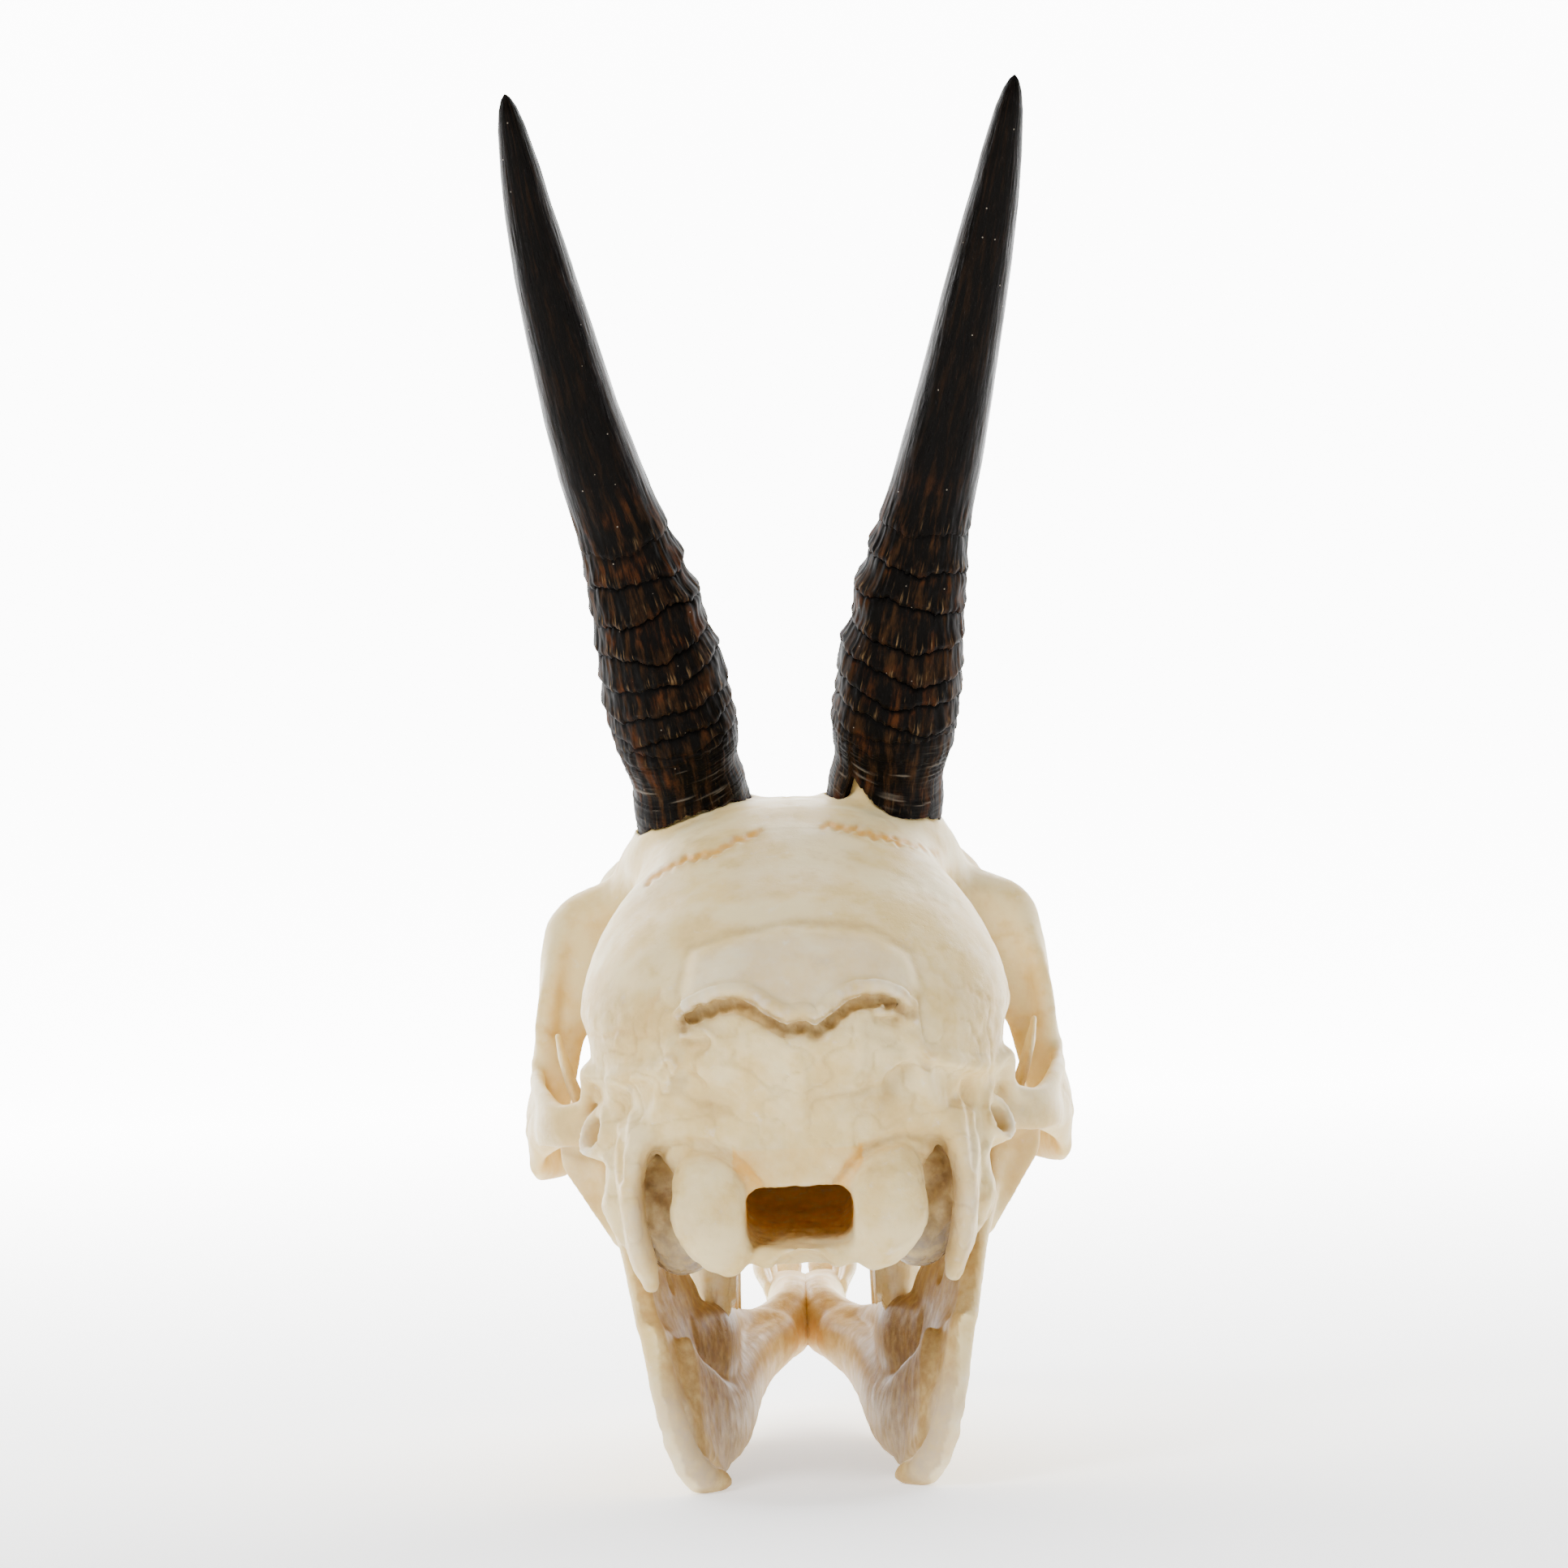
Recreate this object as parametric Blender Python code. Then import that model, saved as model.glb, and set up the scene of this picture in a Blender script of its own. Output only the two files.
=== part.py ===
"""A common duiker's skull, life size, resting on its lower jaw.

The snout points along +Y, up is +Z and the animal's right side is +X. The skull is measured
from the rear of the occipital condyles (y = 0) and from the floor (z = 0), in millimetres.
Every bone is built from lofted forms. A form is a list of stations, and each station is
(x, y, z, half width, half height), where the half width lies along the form's side axis.
"""

import math

import bmesh
import bpy
import numpy as np
from mathutils import Matrix, Vector

MM = 0.001

# Driving sizes in millimetres.
SKULL_LENGTH = 165.0  # rear of the condyles to the tip of the premaxillae
ARCH_HALF_WIDTH = 42.0  # half the width across the cheek arches
BRAINCASE_HALF_WIDTH = 32.3
CROWN_HEIGHT = 101.5  # top of the frontals above the floor
ORBIT_RADIUS = 16.5
HORN_LENGTH = 121.0
HORN_SPREAD_DEG = {1: 11.0, -1: 12.2}  # how far the right and left horns lean outwards
HORN_RAKE_DEG = 27.0  # how far each horn leans backwards at its base
HORN_CURL_DEG = 6.0  # how far it turns forwards again by its tip
CONTACT_GAP = 0.35  # between bones that touch
FLOOR_FLAT = 0.35  # how much of the lowest bone is taken off to give the jaw its feet
SYMPHYSIS_GAP = 0.3  # between the two halves of the lower jaw

# The origin is the middle of the footprint's box, at the level of the feet.
ORIGIN = Vector((0.0, 82.2, FLOOR_FLAT))

AXIS_X = Vector((1, 0, 0))
AXIS_Y = Vector((0, 1, 0))

# Mesh sizes in millimetres, and the number of faces that each node is reduced to.
BONE_VOXEL = 0.75
CRANIUM_FACES = 4300
MANDIBLE_FACES = 1250


def clear_scene():
    for obj in list(bpy.data.objects):
        bpy.data.objects.remove(obj)


def material(name, colour, roughness):
    made = bpy.data.materials.new(name)
    made.use_nodes = True
    shader = made.node_tree.nodes["Principled BSDF"]
    shader.inputs["Base Color"].default_value = (*colour, 1)
    shader.inputs["Roughness"].default_value = roughness
    shader.inputs["Metallic"].default_value = 0
    made.diffuse_color = (*colour, 1)
    return made


# Forms


def smooth_rows(stations, steps):
    """Catmull-Rom rows through the stations, with steps rows in each span."""
    rows = np.array(stations, float)
    ends = np.vstack([2 * rows[0] - rows[1], rows, 2 * rows[-1] - rows[-2]])
    found = []
    for before, start, end, after in zip(ends, ends[1:], ends[2:], ends[3:]):
        for step in range(steps):
            t = step / steps
            found.append(
                0.5
                * (
                    2 * start
                    + (end - before) * t
                    + (2 * before - 5 * start + 4 * end - after) * t**2
                    + (3 * start - before - 3 * end + after) * t**3
                )
            )
    found.append(rows[-1])
    return np.array(found)


def section(power, sides):
    """A unit superellipse: power 2 is an ellipse, and more is boxier."""
    turns = np.linspace(0, 2 * math.pi, sides, endpoint=False)
    c, s = np.cos(turns), np.sin(turns)
    return (
        np.sign(c) * np.abs(c) ** (2 / power),
        np.sign(s) * np.abs(s) ** (2 / power),
    )


def tube(rings, start_pole, end_pole):
    """A closed mesh from rings of points and a pole at either end."""
    rings = np.asarray(rings)
    count, sides = rings.shape[:2]
    points = np.vstack([rings.reshape(-1, 3), start_pole, end_pole])
    first, last = count * sides, count * sides + 1
    faces = []
    for i in range(sides):
        j = (i + 1) % sides
        faces.append((first, j, i))
        for ring in range(count - 1):
            low, high = ring * sides, (ring + 1) * sides
            faces.append((low + i, low + j, high + j, high + i))
        top = (count - 1) * sides
        faces.append((last, top + i, top + j))
    return points, faces


CAP_TURNS = (math.radians(60), math.radians(30))


def loft(stations, side=AXIS_X, power=2.0, sides=16, steps=3, cap=1.0, grow=0.0):
    """A closed form through the stations, with round ends.

    The half height lies across both the path and the side axis. cap is an end's length as a
    share of its smaller half size, or 0 for flat ends, and grow thickens the whole form.
    """
    rows = smooth_rows(stations, steps)
    spine, halves = rows[:, :3], rows[:, 3:5] + grow
    tangents = np.gradient(spine, axis=0)
    tangents /= np.linalg.norm(tangents, axis=1)[:, None]
    across = np.array(side) - tangents * (tangents @ np.array(side))[:, None]
    across /= np.linalg.norm(across, axis=1)[:, None]
    upward = np.cross(tangents, across)
    u, v = section(power, sides)

    def ring(i, scale, shift):
        centre = spine[i] + tangents[i] * shift
        wide = np.outer(u * halves[i, 0] * scale, across[i])
        high = np.outer(v * halves[i, 1] * scale, upward[i])
        return centre + wide + high

    start_length = cap * halves[0].min()
    end_length = cap * halves[-1].min()
    turns = CAP_TURNS if cap else ()
    rings = [ring(0, math.cos(t), -math.sin(t) * start_length) for t in turns]
    rings += [ring(i, 1, 0) for i in range(len(rows))]
    rings += [ring(-1, math.cos(t), math.sin(t) * end_length) for t in turns[::-1]]
    return tube(
        rings,
        spine[0] - tangents[0] * start_length,
        spine[-1] + tangents[-1] * end_length,
    )


def ellipsoid(centre, radii, turn=(0, 0, 0), fineness=3):
    """An ellipsoid, turned by degrees about X, Y and Z."""
    ball = bmesh.new()
    bmesh.ops.create_icosphere(ball, subdivisions=fineness, radius=1)
    spin = Matrix.Rotation(math.radians(turn[2]), 3, "Z")
    spin @= Matrix.Rotation(math.radians(turn[1]), 3, "Y")
    spin @= Matrix.Rotation(math.radians(turn[0]), 3, "X")
    points = [
        Vector(centre) + spin @ Vector(a * b for a, b in zip(v.co, radii)) for v in ball.verts
    ]
    faces = [tuple(v.index for v in f.verts) for f in ball.faces]
    ball.free()
    return np.array(points), faces


def box(low, high):
    """A plain block between two corners."""
    corners = np.array(
        [[(low, high)[i][0], (low, high)[j][1], (low, high)[k][2]]
         for i in (0, 1) for j in (0, 1) for k in (0, 1)],
        float,
    )
    faces = [(0, 1, 3, 2), (4, 6, 7, 5), (0, 4, 5, 1), (2, 3, 7, 6), (0, 2, 6, 4), (1, 5, 7, 3)]
    return corners, faces


def mirrored(form):
    points, faces = form
    return np.array(points) * (-1, 1, 1), [tuple(reversed(face)) for face in faces]


def pair(form):
    """The form on the right and its mirror image on the left."""
    return [form, mirrored(form)]


# Objects


def mesh_object(name, forms):
    """One object that holds the forms, in metres about the origin."""
    points, faces, start = [], [], 0
    for form_points, form_faces in forms:
        points.append((np.asarray(form_points) - np.array(ORIGIN)) * MM)
        faces += [tuple(start + i for i in face) for face in form_faces]
        start += len(form_points)
    mesh = bpy.data.meshes.new(name)
    mesh.from_pydata(np.vstack(points).tolist(), [], faces)
    made = bpy.data.objects.new(name, mesh)
    bpy.context.scene.collection.objects.link(made)
    return made


def apply_modifiers(obj):
    graph = bpy.context.evaluated_depsgraph_get()
    baked = bpy.data.meshes.new_from_object(obj.evaluated_get(graph))
    obj.modifiers.clear()
    obj.data = baked
    return obj


def is_closed(obj):
    """Whether each edge has just two faces, and each point one fan of them."""
    work = bmesh.new()
    work.from_mesh(obj.data)
    closed = all(e.is_manifold for e in work.edges) and all(v.is_manifold for v in work.verts)
    work.free()
    return closed


def fuse_by_voxels(obj, voxel=BONE_VOXEL, smoothing=0):
    """Joins the overlapping forms of an object into one skin and softens their roots.

    Where two voxels of the skin touch along an edge, a slightly smaller voxel parts them.
    """
    forms = obj.data
    for attempt in range(8):
        obj.data = forms
        remesh = obj.modifiers.new("Fuse", "REMESH")
        remesh.mode = "VOXEL"
        remesh.voxel_size = voxel * (1 - 0.013 * attempt) * MM
        apply_modifiers(obj)
        if is_closed(obj):
            break
    if smoothing:
        soften = obj.modifiers.new("Soften", "SMOOTH")
        soften.factor = 0.5
        soften.iterations = smoothing
        apply_modifiers(obj)
    return obj


def boolean(obj, operation, others):
    """Cuts or joins obj with the other objects, which are then removed.

    These meshes are too fine for EXACT to be quick, and they are all closed.
    """
    group = bpy.data.collections.new(operation)
    bpy.context.scene.collection.children.link(group)
    for other in others:
        group.objects.link(other)
    step = obj.modifiers.new(operation, "BOOLEAN")
    step.operation = operation
    step.solver = "MANIFOLD"
    step.operand_type = "COLLECTION"
    step.collection = group
    apply_modifiers(obj)
    for other in others:
        bpy.data.objects.remove(other)
    bpy.data.collections.remove(group)
    return obj


def reduce_faces(obj, faces):
    """Fewer, larger triangles where the bone is smooth, and a closed skin still."""
    fine = obj.data
    triangles = sum(len(p.vertices) - 2 for p in fine.polygons)
    for attempt in range(12):
        obj.data = fine
        thin = obj.modifiers.new("Reduce", "DECIMATE")
        thin.ratio = min(1.0, faces * (1 + 0.01 * attempt) / triangles)
        apply_modifiers(obj)
        if is_closed(obj):
            break
    return obj


def keep_largest(obj):
    """Drops every closed surface but the one with the most faces."""
    work = bmesh.new()
    work.from_mesh(obj.data)
    left, islands = set(work.faces), []
    while left:
        island, todo = [], [left.pop()]
        while todo:
            face = todo.pop()
            island.append(face)
            near = {f for e in face.edges if len(e.link_faces) == 2 for f in e.link_faces} & left
            left -= near
            todo += near
        islands.append(island)
    islands.sort(key=len)
    for island in islands[:-1]:
        bmesh.ops.delete(work, geom=island, context="FACES")
    work.to_mesh(obj.data)
    work.free()
    return obj


def finish(obj, look):
    obj.data.materials.clear()
    obj.data.materials.append(look)
    obj.data.shade_smooth()
    obj.data.set_sharp_from_angle(angle=math.radians(38))
    return obj


# Cranium: the main masses


def braincase():
    wide = BRAINCASE_HALF_WIDTH
    return loft(
        [
            (0, 6.0, 59.5, 0.56 * wide, 12.0),
            (0, 10.0, 62.0, 0.76 * wide, 16.0),
            (0, 15.5, 64.5, 0.90 * wide, 19.5),
            (0, 22.5, 67.0, 0.98 * wide, 22.8),
            (0, 31.0, 69.0, wide, 25.2),
            (0, 40.0, 71.5, 0.955 * wide, 27.0),
            (0, 49.0, 74.0, 0.86 * wide, 27.2),
            (0, 58.0, 75.5, 0.76 * wide, CROWN_HEIGHT - 75.5),
            (0, 67.0, 76.0, 0.66 * wide, 24.5),
        ],
        power=2.25,
        sides=28,
        cap=0.28,
    )


def forehead():
    return loft(
        [
            (0, 46, 92.0, 19, 7.0),
            (0, 54, 93.0, 24, 7.5),
            (0, 62, 93.0, 26, 8.0),
            (0, 70, 90.8, 26, 8.0),
            (0, 78, 87.6, 25, 8.0),
            (0, 86, 83.8, 23, 8.0),
            (0, 94, 79.5, 21, 8.0),
        ],
        power=2.4,
        sides=24,
    )


def rostrum():
    return loft(
        [
            (0, 72, 71.0, 21.0, 25.0),
            (0, 82, 68.3, 22.0, 24.6),
            (0, 92, 64.8, 22.0, 23.0),
            (0, 102, 61.2, 20.0, 20.6),
            (0, 112, 57.6, 17.4, 18.0),
            (0, 122, 53.6, 14.8, 15.8),
            (0, 131, 50.2, 12.4, 13.6),
            (0, 138, 47.4, 11.0, 11.6),
        ],
        power=2.5,
        sides=24,
        cap=0.3,
    )


def cheek():
    """The maxilla's tooth-bearing edge, on the right."""
    return loft(
        [
            (17.0, 61, 45.0, 5.2, 5.5),
            (18.6, 71, 45.6, 6.2, 7.2),
            (19.0, 84, 44.8, 6.8, 8.6),
            (17.8, 97, 42.6, 6.4, 8.6),
            (15.6, 108, 40.2, 5.8, 7.2),
            (12.8, 120, 38.0, 4.8, 5.4),
            (10.6, 132, 36.6, 3.6, 3.8),
            (9.4, 140, 36.2, 2.8, 3.0),
        ],
    )


def face_side():
    """The lacrimal and maxilla between the orbit and the snout, on the right."""
    return loft(
        [
            (27.0, 88, 66.0, 4.5, 16.5),
            (23.0, 95, 62.5, 5.0, 17.0),
            (18.5, 104, 58.5, 5.0, 15.0),
            (14.5, 114, 54.0, 4.5, 12.0),
        ],
    )


def brow_front():
    """The corner where the frontal runs down to the lacrimal, on the right."""
    return loft(
        [
            (20.0, 80, 88.5, 9.0, 5.0),
            (23.5, 88, 83.5, 7.0, 6.0),
            (24.5, 94, 77.0, 5.0, 7.5),
            (22.5, 100, 70.0, 4.5, 8.0),
        ]
    )


def brow():
    """The shelf of the frontal over the orbit, on the right."""
    return loft(
        [
            (19, 71, 88.5, 13.0, 6.0),
            (26, 72, 86.8, 12.5, 3.8),
            (31, 73, 85.4, 12.0, 2.8),
            (35.6, 73.5, 83.8, 11.0, 2.0),
        ],
        side=AXIS_Y,
    )


def palate_roof():
    """The bony floor of the nose between the cheeks, back to the choanae."""
    return loft(
        [
            (0, 66, 45.5, 11.0, 2.6),
            (0, 84, 44.0, 13.0, 3.4),
            (0, 104, 41.0, 13.0, 3.6),
            (0, 124, 38.2, 10.0, 3.2),
            (0, 138, 36.6, 7.5, 2.4),
        ]
    )


def base_beam():
    """The basioccipital and basisphenoid."""
    return loft(
        [
            (0, 4.6, 35.6, 8.4, 2.4),
            (0, 11, 37.0, 8.4, 3.0),
            (0, 21, 39.6, 7.2, 3.4),
            (0, 33, 42.0, 6.0, 3.8),
            (0, 46, 44.6, 5.0, 4.2),
            (0, 60, 47.5, 4.5, 5.0),
            (0, 74, 50.5, 4.5, 6.0),
        ]
    )


# Cranium: the occiput


def rod(path, side=AXIS_X):
    """A round rod through rows of x, y, z and radius."""
    return loft([(x, y, z, radius, radius) for x, y, z, radius in path], side=side, sides=10, steps=2)


def occiput_middle():
    """The plate over the foramen, its raised upper part and the floor before it."""
    bump = [
        (0, 4.4, 71.6, 14.6, 3.4),
        (0, 8.0, 75.8, 16.4, 4.6),
        (0, 14.6, 80.2, 15.4, 4.2),
        (0, 22.0, 84.2, 12.0, 3.2),
    ]
    return [
        ellipsoid((0, 10.5, 57.5), (23.0, 7.8, 15.5)),
        ellipsoid((0, 12.5, 46.5), (17.0, 9.2, 11.0)),
        ellipsoid((0, 22.0, 43.6), (11.5, 17.0, 4.8)),
        loft(bump, power=3.0, sides=20),
    ]


def occiput_side():
    """The crests, the condyle and the processes beside it, on the right."""
    nuchal_crest = [
        (0.0, 2.6, 68.3, 1.6),
        (3.0, 2.6, 68.0, 1.6),
        (5.6, 2.4, 70.0, 1.6),
        (8.8, 2.6, 72.0, 1.6),
        (13.6, 3.8, 71.6, 1.6),
        (16.6, 6.2, 69.6, 1.5),
    ]
    lateral_ridge = [
        (16.6, 6.2, 69.6, 1.5),
        (18.4, 8.6, 63.5, 1.4),
        (19.4, 9.2, 59.6, 1.5),
        (21.9, 9.8, 54.4, 1.7),
        (24.0, 10.4, 50.0, 1.6),
    ]
    condyle = [
        (14.3, 7.2, 50.6, 2.6, 2.6),
        (14.0, 6.4, 48.6, 4.3, 3.9),
        (13.1, 5.3, 45.0, 5.7, 5.0),
        (12.5, 5.0, 41.0, 6.2, 4.9),
        (11.3, 5.2, 37.6, 4.7, 4.2),
        (9.4, 5.8, 35.3, 3.0, 3.0),
    ]
    paroccipital = [
        (23.0, 12.4, 54.0, 3.6, 4.6),
        (24.6, 11.6, 49.0, 2.3, 4.2),
        (24.6, 11.4, 43.0, 1.8, 3.9),
        (23.9, 11.4, 38.0, 1.9, 3.2),
        (23.0, 11.4, 34.6, 1.8, 2.4),
        (22.3, 11.2, 31.8, 1.3, 1.5),
    ]
    mastoid = [
        (22.6, 17.4, 62.0, 4.2, 4.4),
        (24.6, 17.4, 57.0, 3.8, 4.2),
        (26.0, 17.2, 51.0, 2.4, 3.6),
        (26.9, 16.4, 46.4, 1.5, 2.6),
    ]
    lobe = [
        (26.8, 15.8, 47.4, 1.2, 2.2),
        (27.0, 15.4, 43.4, 2.2, 3.0),
        (26.0, 15.2, 39.4, 1.5, 2.2),
        (24.8, 15.0, 36.8, 1.0, 1.2),
    ]
    ear_tube = [
        (22.0, 22.0, 50.4, 4.2, 4.4),
        (27.0, 19.8, 52.8, 3.6, 3.8),
        (30.6, 17.8, 54.3, 3.2, 3.6),
    ]
    return [
        rod(nuchal_crest, side=AXIS_Y),
        rod(lateral_ridge, side=AXIS_Y),
        loft(condyle, power=2.3, cap=0.5),
        loft(paroccipital, power=2.4),
        loft(mastoid),
        loft(lobe),
        loft(ear_tube, side=AXIS_Y, cap=0.0),
        ellipsoid((16.8, 24.0, 40.6), (6.4, 10.5, 8.6), turn=(8, -12, 0)),
        ellipsoid((21.4, 20.4, 43.6), (3.2, 7.6, 6.6), turn=(0, 8, 0)),
        ellipsoid((18.8, 20.0, 47.6), (5.4, 7.6, 5.0)),
    ]


def condyle_pockets():
    """What is hollowed out between the right condyle and the process beside it."""
    return [
        ellipsoid((20.9, 6.8, 44.7), (2.3, 6.4, 3.1), turn=(0, 12, 0)),
        ellipsoid((20.5, 6.5, 39.4), (1.8, 4.5, 5.6), turn=(0, 14, 0)),
    ]


# Cranium: orbit, cheek arch and skull base


def orbit_rim():
    """The ring around the right eye socket, thin enough to stand out from the face."""
    centre_y, centre_z, tilt = 72.0, 68.4, 4.6
    rows = []
    for turn in np.linspace(0, 2 * math.pi, 20, endpoint=False):
        rows.append(
            (
                34.0 - tilt * math.cos(turn) - 1.8 * max(0.0, math.sin(turn)),
                centre_y + (ORBIT_RADIUS + 1.2) * math.cos(turn),
                centre_z + (ORBIT_RADIUS + 0.6) * math.sin(turn),
            )
        )
    rows.append(rows[0])
    halves = (1.6, 1.7)
    return [
        loft([(*start, *halves), (*end, *halves)], steps=1, sides=10)
        for start, end in zip(rows, rows[1:])
    ]


def arch_root():
    """The rear root of the right cheek arch: a crest over the ear, a deep rim and its plate."""
    crest = [
        (18.4, 11.6, 64.2, 1.6),
        (22.0, 13.0, 63.4, 1.6),
        (26.4, 14.8, 62.2, 1.6),
        (29.0, 17.8, 62.4, 1.6),
        (30.9, 20.6, 62.8, 1.7),
    ]
    rim = [
        (30.9, 20.6, 62.8, 1.7),
        (31.2, 22.4, 60.0, 1.4),
        (32.2, 24.2, 57.6, 1.3),
        (34.4, 26.4, 56.6, 1.3),
        (36.3, 29.4, 57.0, 1.3),
        (37.9, 33.6, 58.4, 1.3),
        (39.1, 39.0, 59.8, 1.3),
        (39.8, 46.0, 60.6, 1.2),
        (40.0, 52.0, 61.2, 1.2),
        (39.8, 55.5, 63.0, 1.2),
    ]
    plate = [
        (29.0, 24.4, 55.6, 1.1, 3.2),
        (32.6, 25.0, 54.9, 1.1, 3.2),
        (35.8, 27.2, 54.5, 1.1, 3.1),
        (38.0, 31.2, 54.8, 1.1, 3.3),
        (38.9, 37.0, 55.3, 1.1, 4.0),
        (39.7, 43.0, 55.8, 1.1, 4.6),
        (39.9, 52.0, 56.4, 1.1, 5.2),
    ]
    slanted = Vector((-1, 1, 0))
    return [rod(crest, side=AXIS_Y), rod(rim, side=slanted), loft(plate, side=slanted)]


def arch_forms():
    """The right cheek arch, the bar behind the orbit, the jaw joint and the pterygoid."""
    wide = ARCH_HALF_WIDTH - 1.9
    jugal = [
        (16.0, 112, 46.0, 2.6, 5.0),
        (20.0, 105, 48.5, 3.2, 7.0),
        (24.6, 97, 51.0, 3.4, 8.6),
        (29.6, 88, 52.0, 3.2, 7.4),
        (34.2, 78, 51.2, 2.6, 5.8),
        (0.935 * wide, 68, 50.4, 2.2, 5.6),
        (0.985 * wide, 59, 51.0, 1.9, 6.2),
        (wide, 51, 52.6, 1.7, 6.6),
        (0.985 * wide, 44, 53.6, 1.5, 5.0),
        (0.915 * wide, 37, 53.8, 1.5, 3.0),
        (0.83 * wide, 31.5, 54.6, 2.4, 2.9),
        (0.71 * wide, 27.5, 55.4, 3.6, 3.4),
    ]
    bar = [
        (27.4, 65.5, 87.0, 3.6, 3.0),
        (32.5, 63.4, 84.8, 4.2, 2.8),
        (34.2, 60.8, 79.6, 4.6, 2.5),
        (35.4, 58.8, 72.0, 4.1, 2.4),
        (36.6, 57.4, 66.0, 3.7, 2.3),
        (37.6, 56.8, 60.0, 3.3, 2.3),
        (39.0, 56.6, 54.5, 2.8, 2.8),
    ]
    rear_wall = [
        (27.6, 64.0, 86.0, 3.4, 2.2),
        (29.8, 61.4, 82.0, 6.0, 1.8),
        (30.4, 59.2, 77.0, 7.6, 1.6),
        (30.8, 57.8, 72.6, 7.8, 1.5),
        (31.6, 57.2, 68.9, 7.2, 1.4),
    ]
    pterygoid = [
        (8.6, 42, 44.5, 1.3, 5.0),
        (9.0, 50, 42.6, 1.2, 6.6),
        (9.6, 58, 42.8, 1.3, 6.4),
        (11.0, 68, 44.0, 1.8, 5.4),
    ]
    hook = [(8.8, 50, 39.0, 1.3, 3.0), (8.6, 54, 36.0, 1.1, 1.8), (8.4, 57, 34.6, 0.9, 1.1)]
    return [
        loft(jugal),
        loft(bar, cap=0.4),
        loft(rear_wall, cap=0.7),
        ellipsoid((28.6, 31.0, 54.6), (7.8, 6.2, 3.0)),
        ellipsoid((27.6, 25.8, 53.8), (4.0, 1.8, 3.4)),
        rod([(40.0, 49.0, 47.6, 1.2), (39.4, 53.0, 46.8, 1.2)]),
        loft(pterygoid),
        loft(hook),
        *arch_root(),
        *orbit_rim(),
    ]


def horn_frame(side, share):
    """Centre, axis, outward and forward directions of a horn at a share of its length."""
    centre = np.array([15.3, 58.5, 99.0])
    spread = math.tan(math.radians(HORN_SPREAD_DEG[side]))
    steps = 24
    for step in range(steps + 1):
        turned = math.radians(HORN_RAKE_DEG - HORN_CURL_DEG * min(share, step / steps))
        axis = np.array([spread, -math.tan(turned), 1.0])
        axis /= np.linalg.norm(axis)
        if step < steps:
            centre = centre + axis * HORN_LENGTH * share / steps
    out = np.array(AXIS_X) - axis * axis[0]
    out /= np.linalg.norm(out)
    flip = np.array([side, 1, 1])
    return centre * flip, axis * flip, out * flip, np.cross(axis, out) * flip


def pedicle(side):
    """The low bony seat under a horn."""
    root, axis, _, _ = horn_frame(side, 0.0)
    rows = [
        (*(root + axis * rise), radius, radius * CORE_DEPTH)
        for rise, radius in ((-9.0, 12.0), (-4.0, 10.4), (0.5, 8.6))
    ]
    return loft(rows, sides=18, steps=2, cap=0.2)


def horn_core(side):
    """The bony stub that the horn sheath sits on."""
    rows = []
    for share, radius in ((-0.06, 8.0), (0.0, 7.5), (0.03, 7.4), (0.05, 7.0)):
        centre, axis, _, _ = horn_frame(side, max(share, 0.0))
        centre = centre + axis * HORN_LENGTH * min(share, 0.0)
        rows.append((*centre, radius, radius * CORE_DEPTH))
    return loft(rows, sides=HORN_SIDES, steps=1, cap=0.08)


def horn_seat(side):
    """A solid horn, with its gap: cut from the skull, it leaves a seat that the horn meets."""
    rings = []
    for share in (0.30, 0.20, 0.12, 0.06, 0.0):
        slant = HORN_SLANT * max(0.0, 1 - share / SLANT_REACH)
        radius = horn_radius(share) + CONTACT_GAP
        rings.append(horn_ring(side, share, radius, HORN_DEPTH, HORN_SIDES, slant, CONTACT_GAP))
    start = rings[0].mean(axis=0)
    end = rings[-1].mean(axis=0)
    return outward(tube(rings, start, end))


# Cranium: openings


def cranium_cutters():
    """Everything that is hollowed out of the main masses."""
    orbit = ellipsoid((36.0, 72.5, 69.5), (18.5, ORBIT_RADIUS, ORBIT_RADIUS), turn=(0, 8, -14))
    temporal = loft(
        [
            (36.5, 50, 66, 6.0, 13.0),
            (34.5, 58, 66, 8.0, 12.0),
            (33.0, 66, 64, 9.0, 11.0),
        ],
    )
    tear_pit = ellipsoid((32.0, 105.5, 63.0), (8.6, 13.0, 8.8), turn=(0, 14, -25))
    under_orbit = loft(
        [
            (27.0, 48, 50, 7.0, 9.0),
            (27.0, 60, 51, 6.5, 8.0),
            (26.5, 70, 56, 6.0, 7.0),
        ],
    )
    choana = loft([(0, 50, 40.5, 6.4, 4.2), (0, 60, 43.6, 7.4, 4.5), (0, 72, 46.5, 8.0, 4.5)])
    nose = loft(
        [
            (0, 98, 62.0, 9.0, 11.0),
            (0, 112, 57.5, 9.0, 11.0),
            (0, 124, 53.2, 8.6, 10.6),
            (0, 136, 48.6, 8.2, 10.0),
            (0, 150, 43.5, 9.0, 12.0),
            (0, 172, 38.0, 11.0, 14.0),
        ],
        power=2.3,
    )
    palate_vault = loft(
        [
            (0, 56, 38.5, 9.5, 3.5),
            (0, 80, 36.5, 11.5, 4.5),
            (0, 100, 34.6, 10.5, 3.8),
            (0, 120, 33.2, 7.5, 2.4),
            (0, 150, 31.0, 5.0, 1.4),
        ],
    )
    gutter = loft(
        [
            (33.6, 20, 66.4, 2.2, 3.8),
            (33.1, 30, 64.4, 2.7, 5.2),
            (33.1, 42, 64.0, 3.1, 6.2),
            (33.6, 56, 64.0, 3.3, 5.0),
        ]
    )
    forms = [choana, nose, palate_vault]
    for form in (orbit, temporal, tear_pit, under_orbit, gutter):
        forms += pair(form)
    return forms


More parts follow.
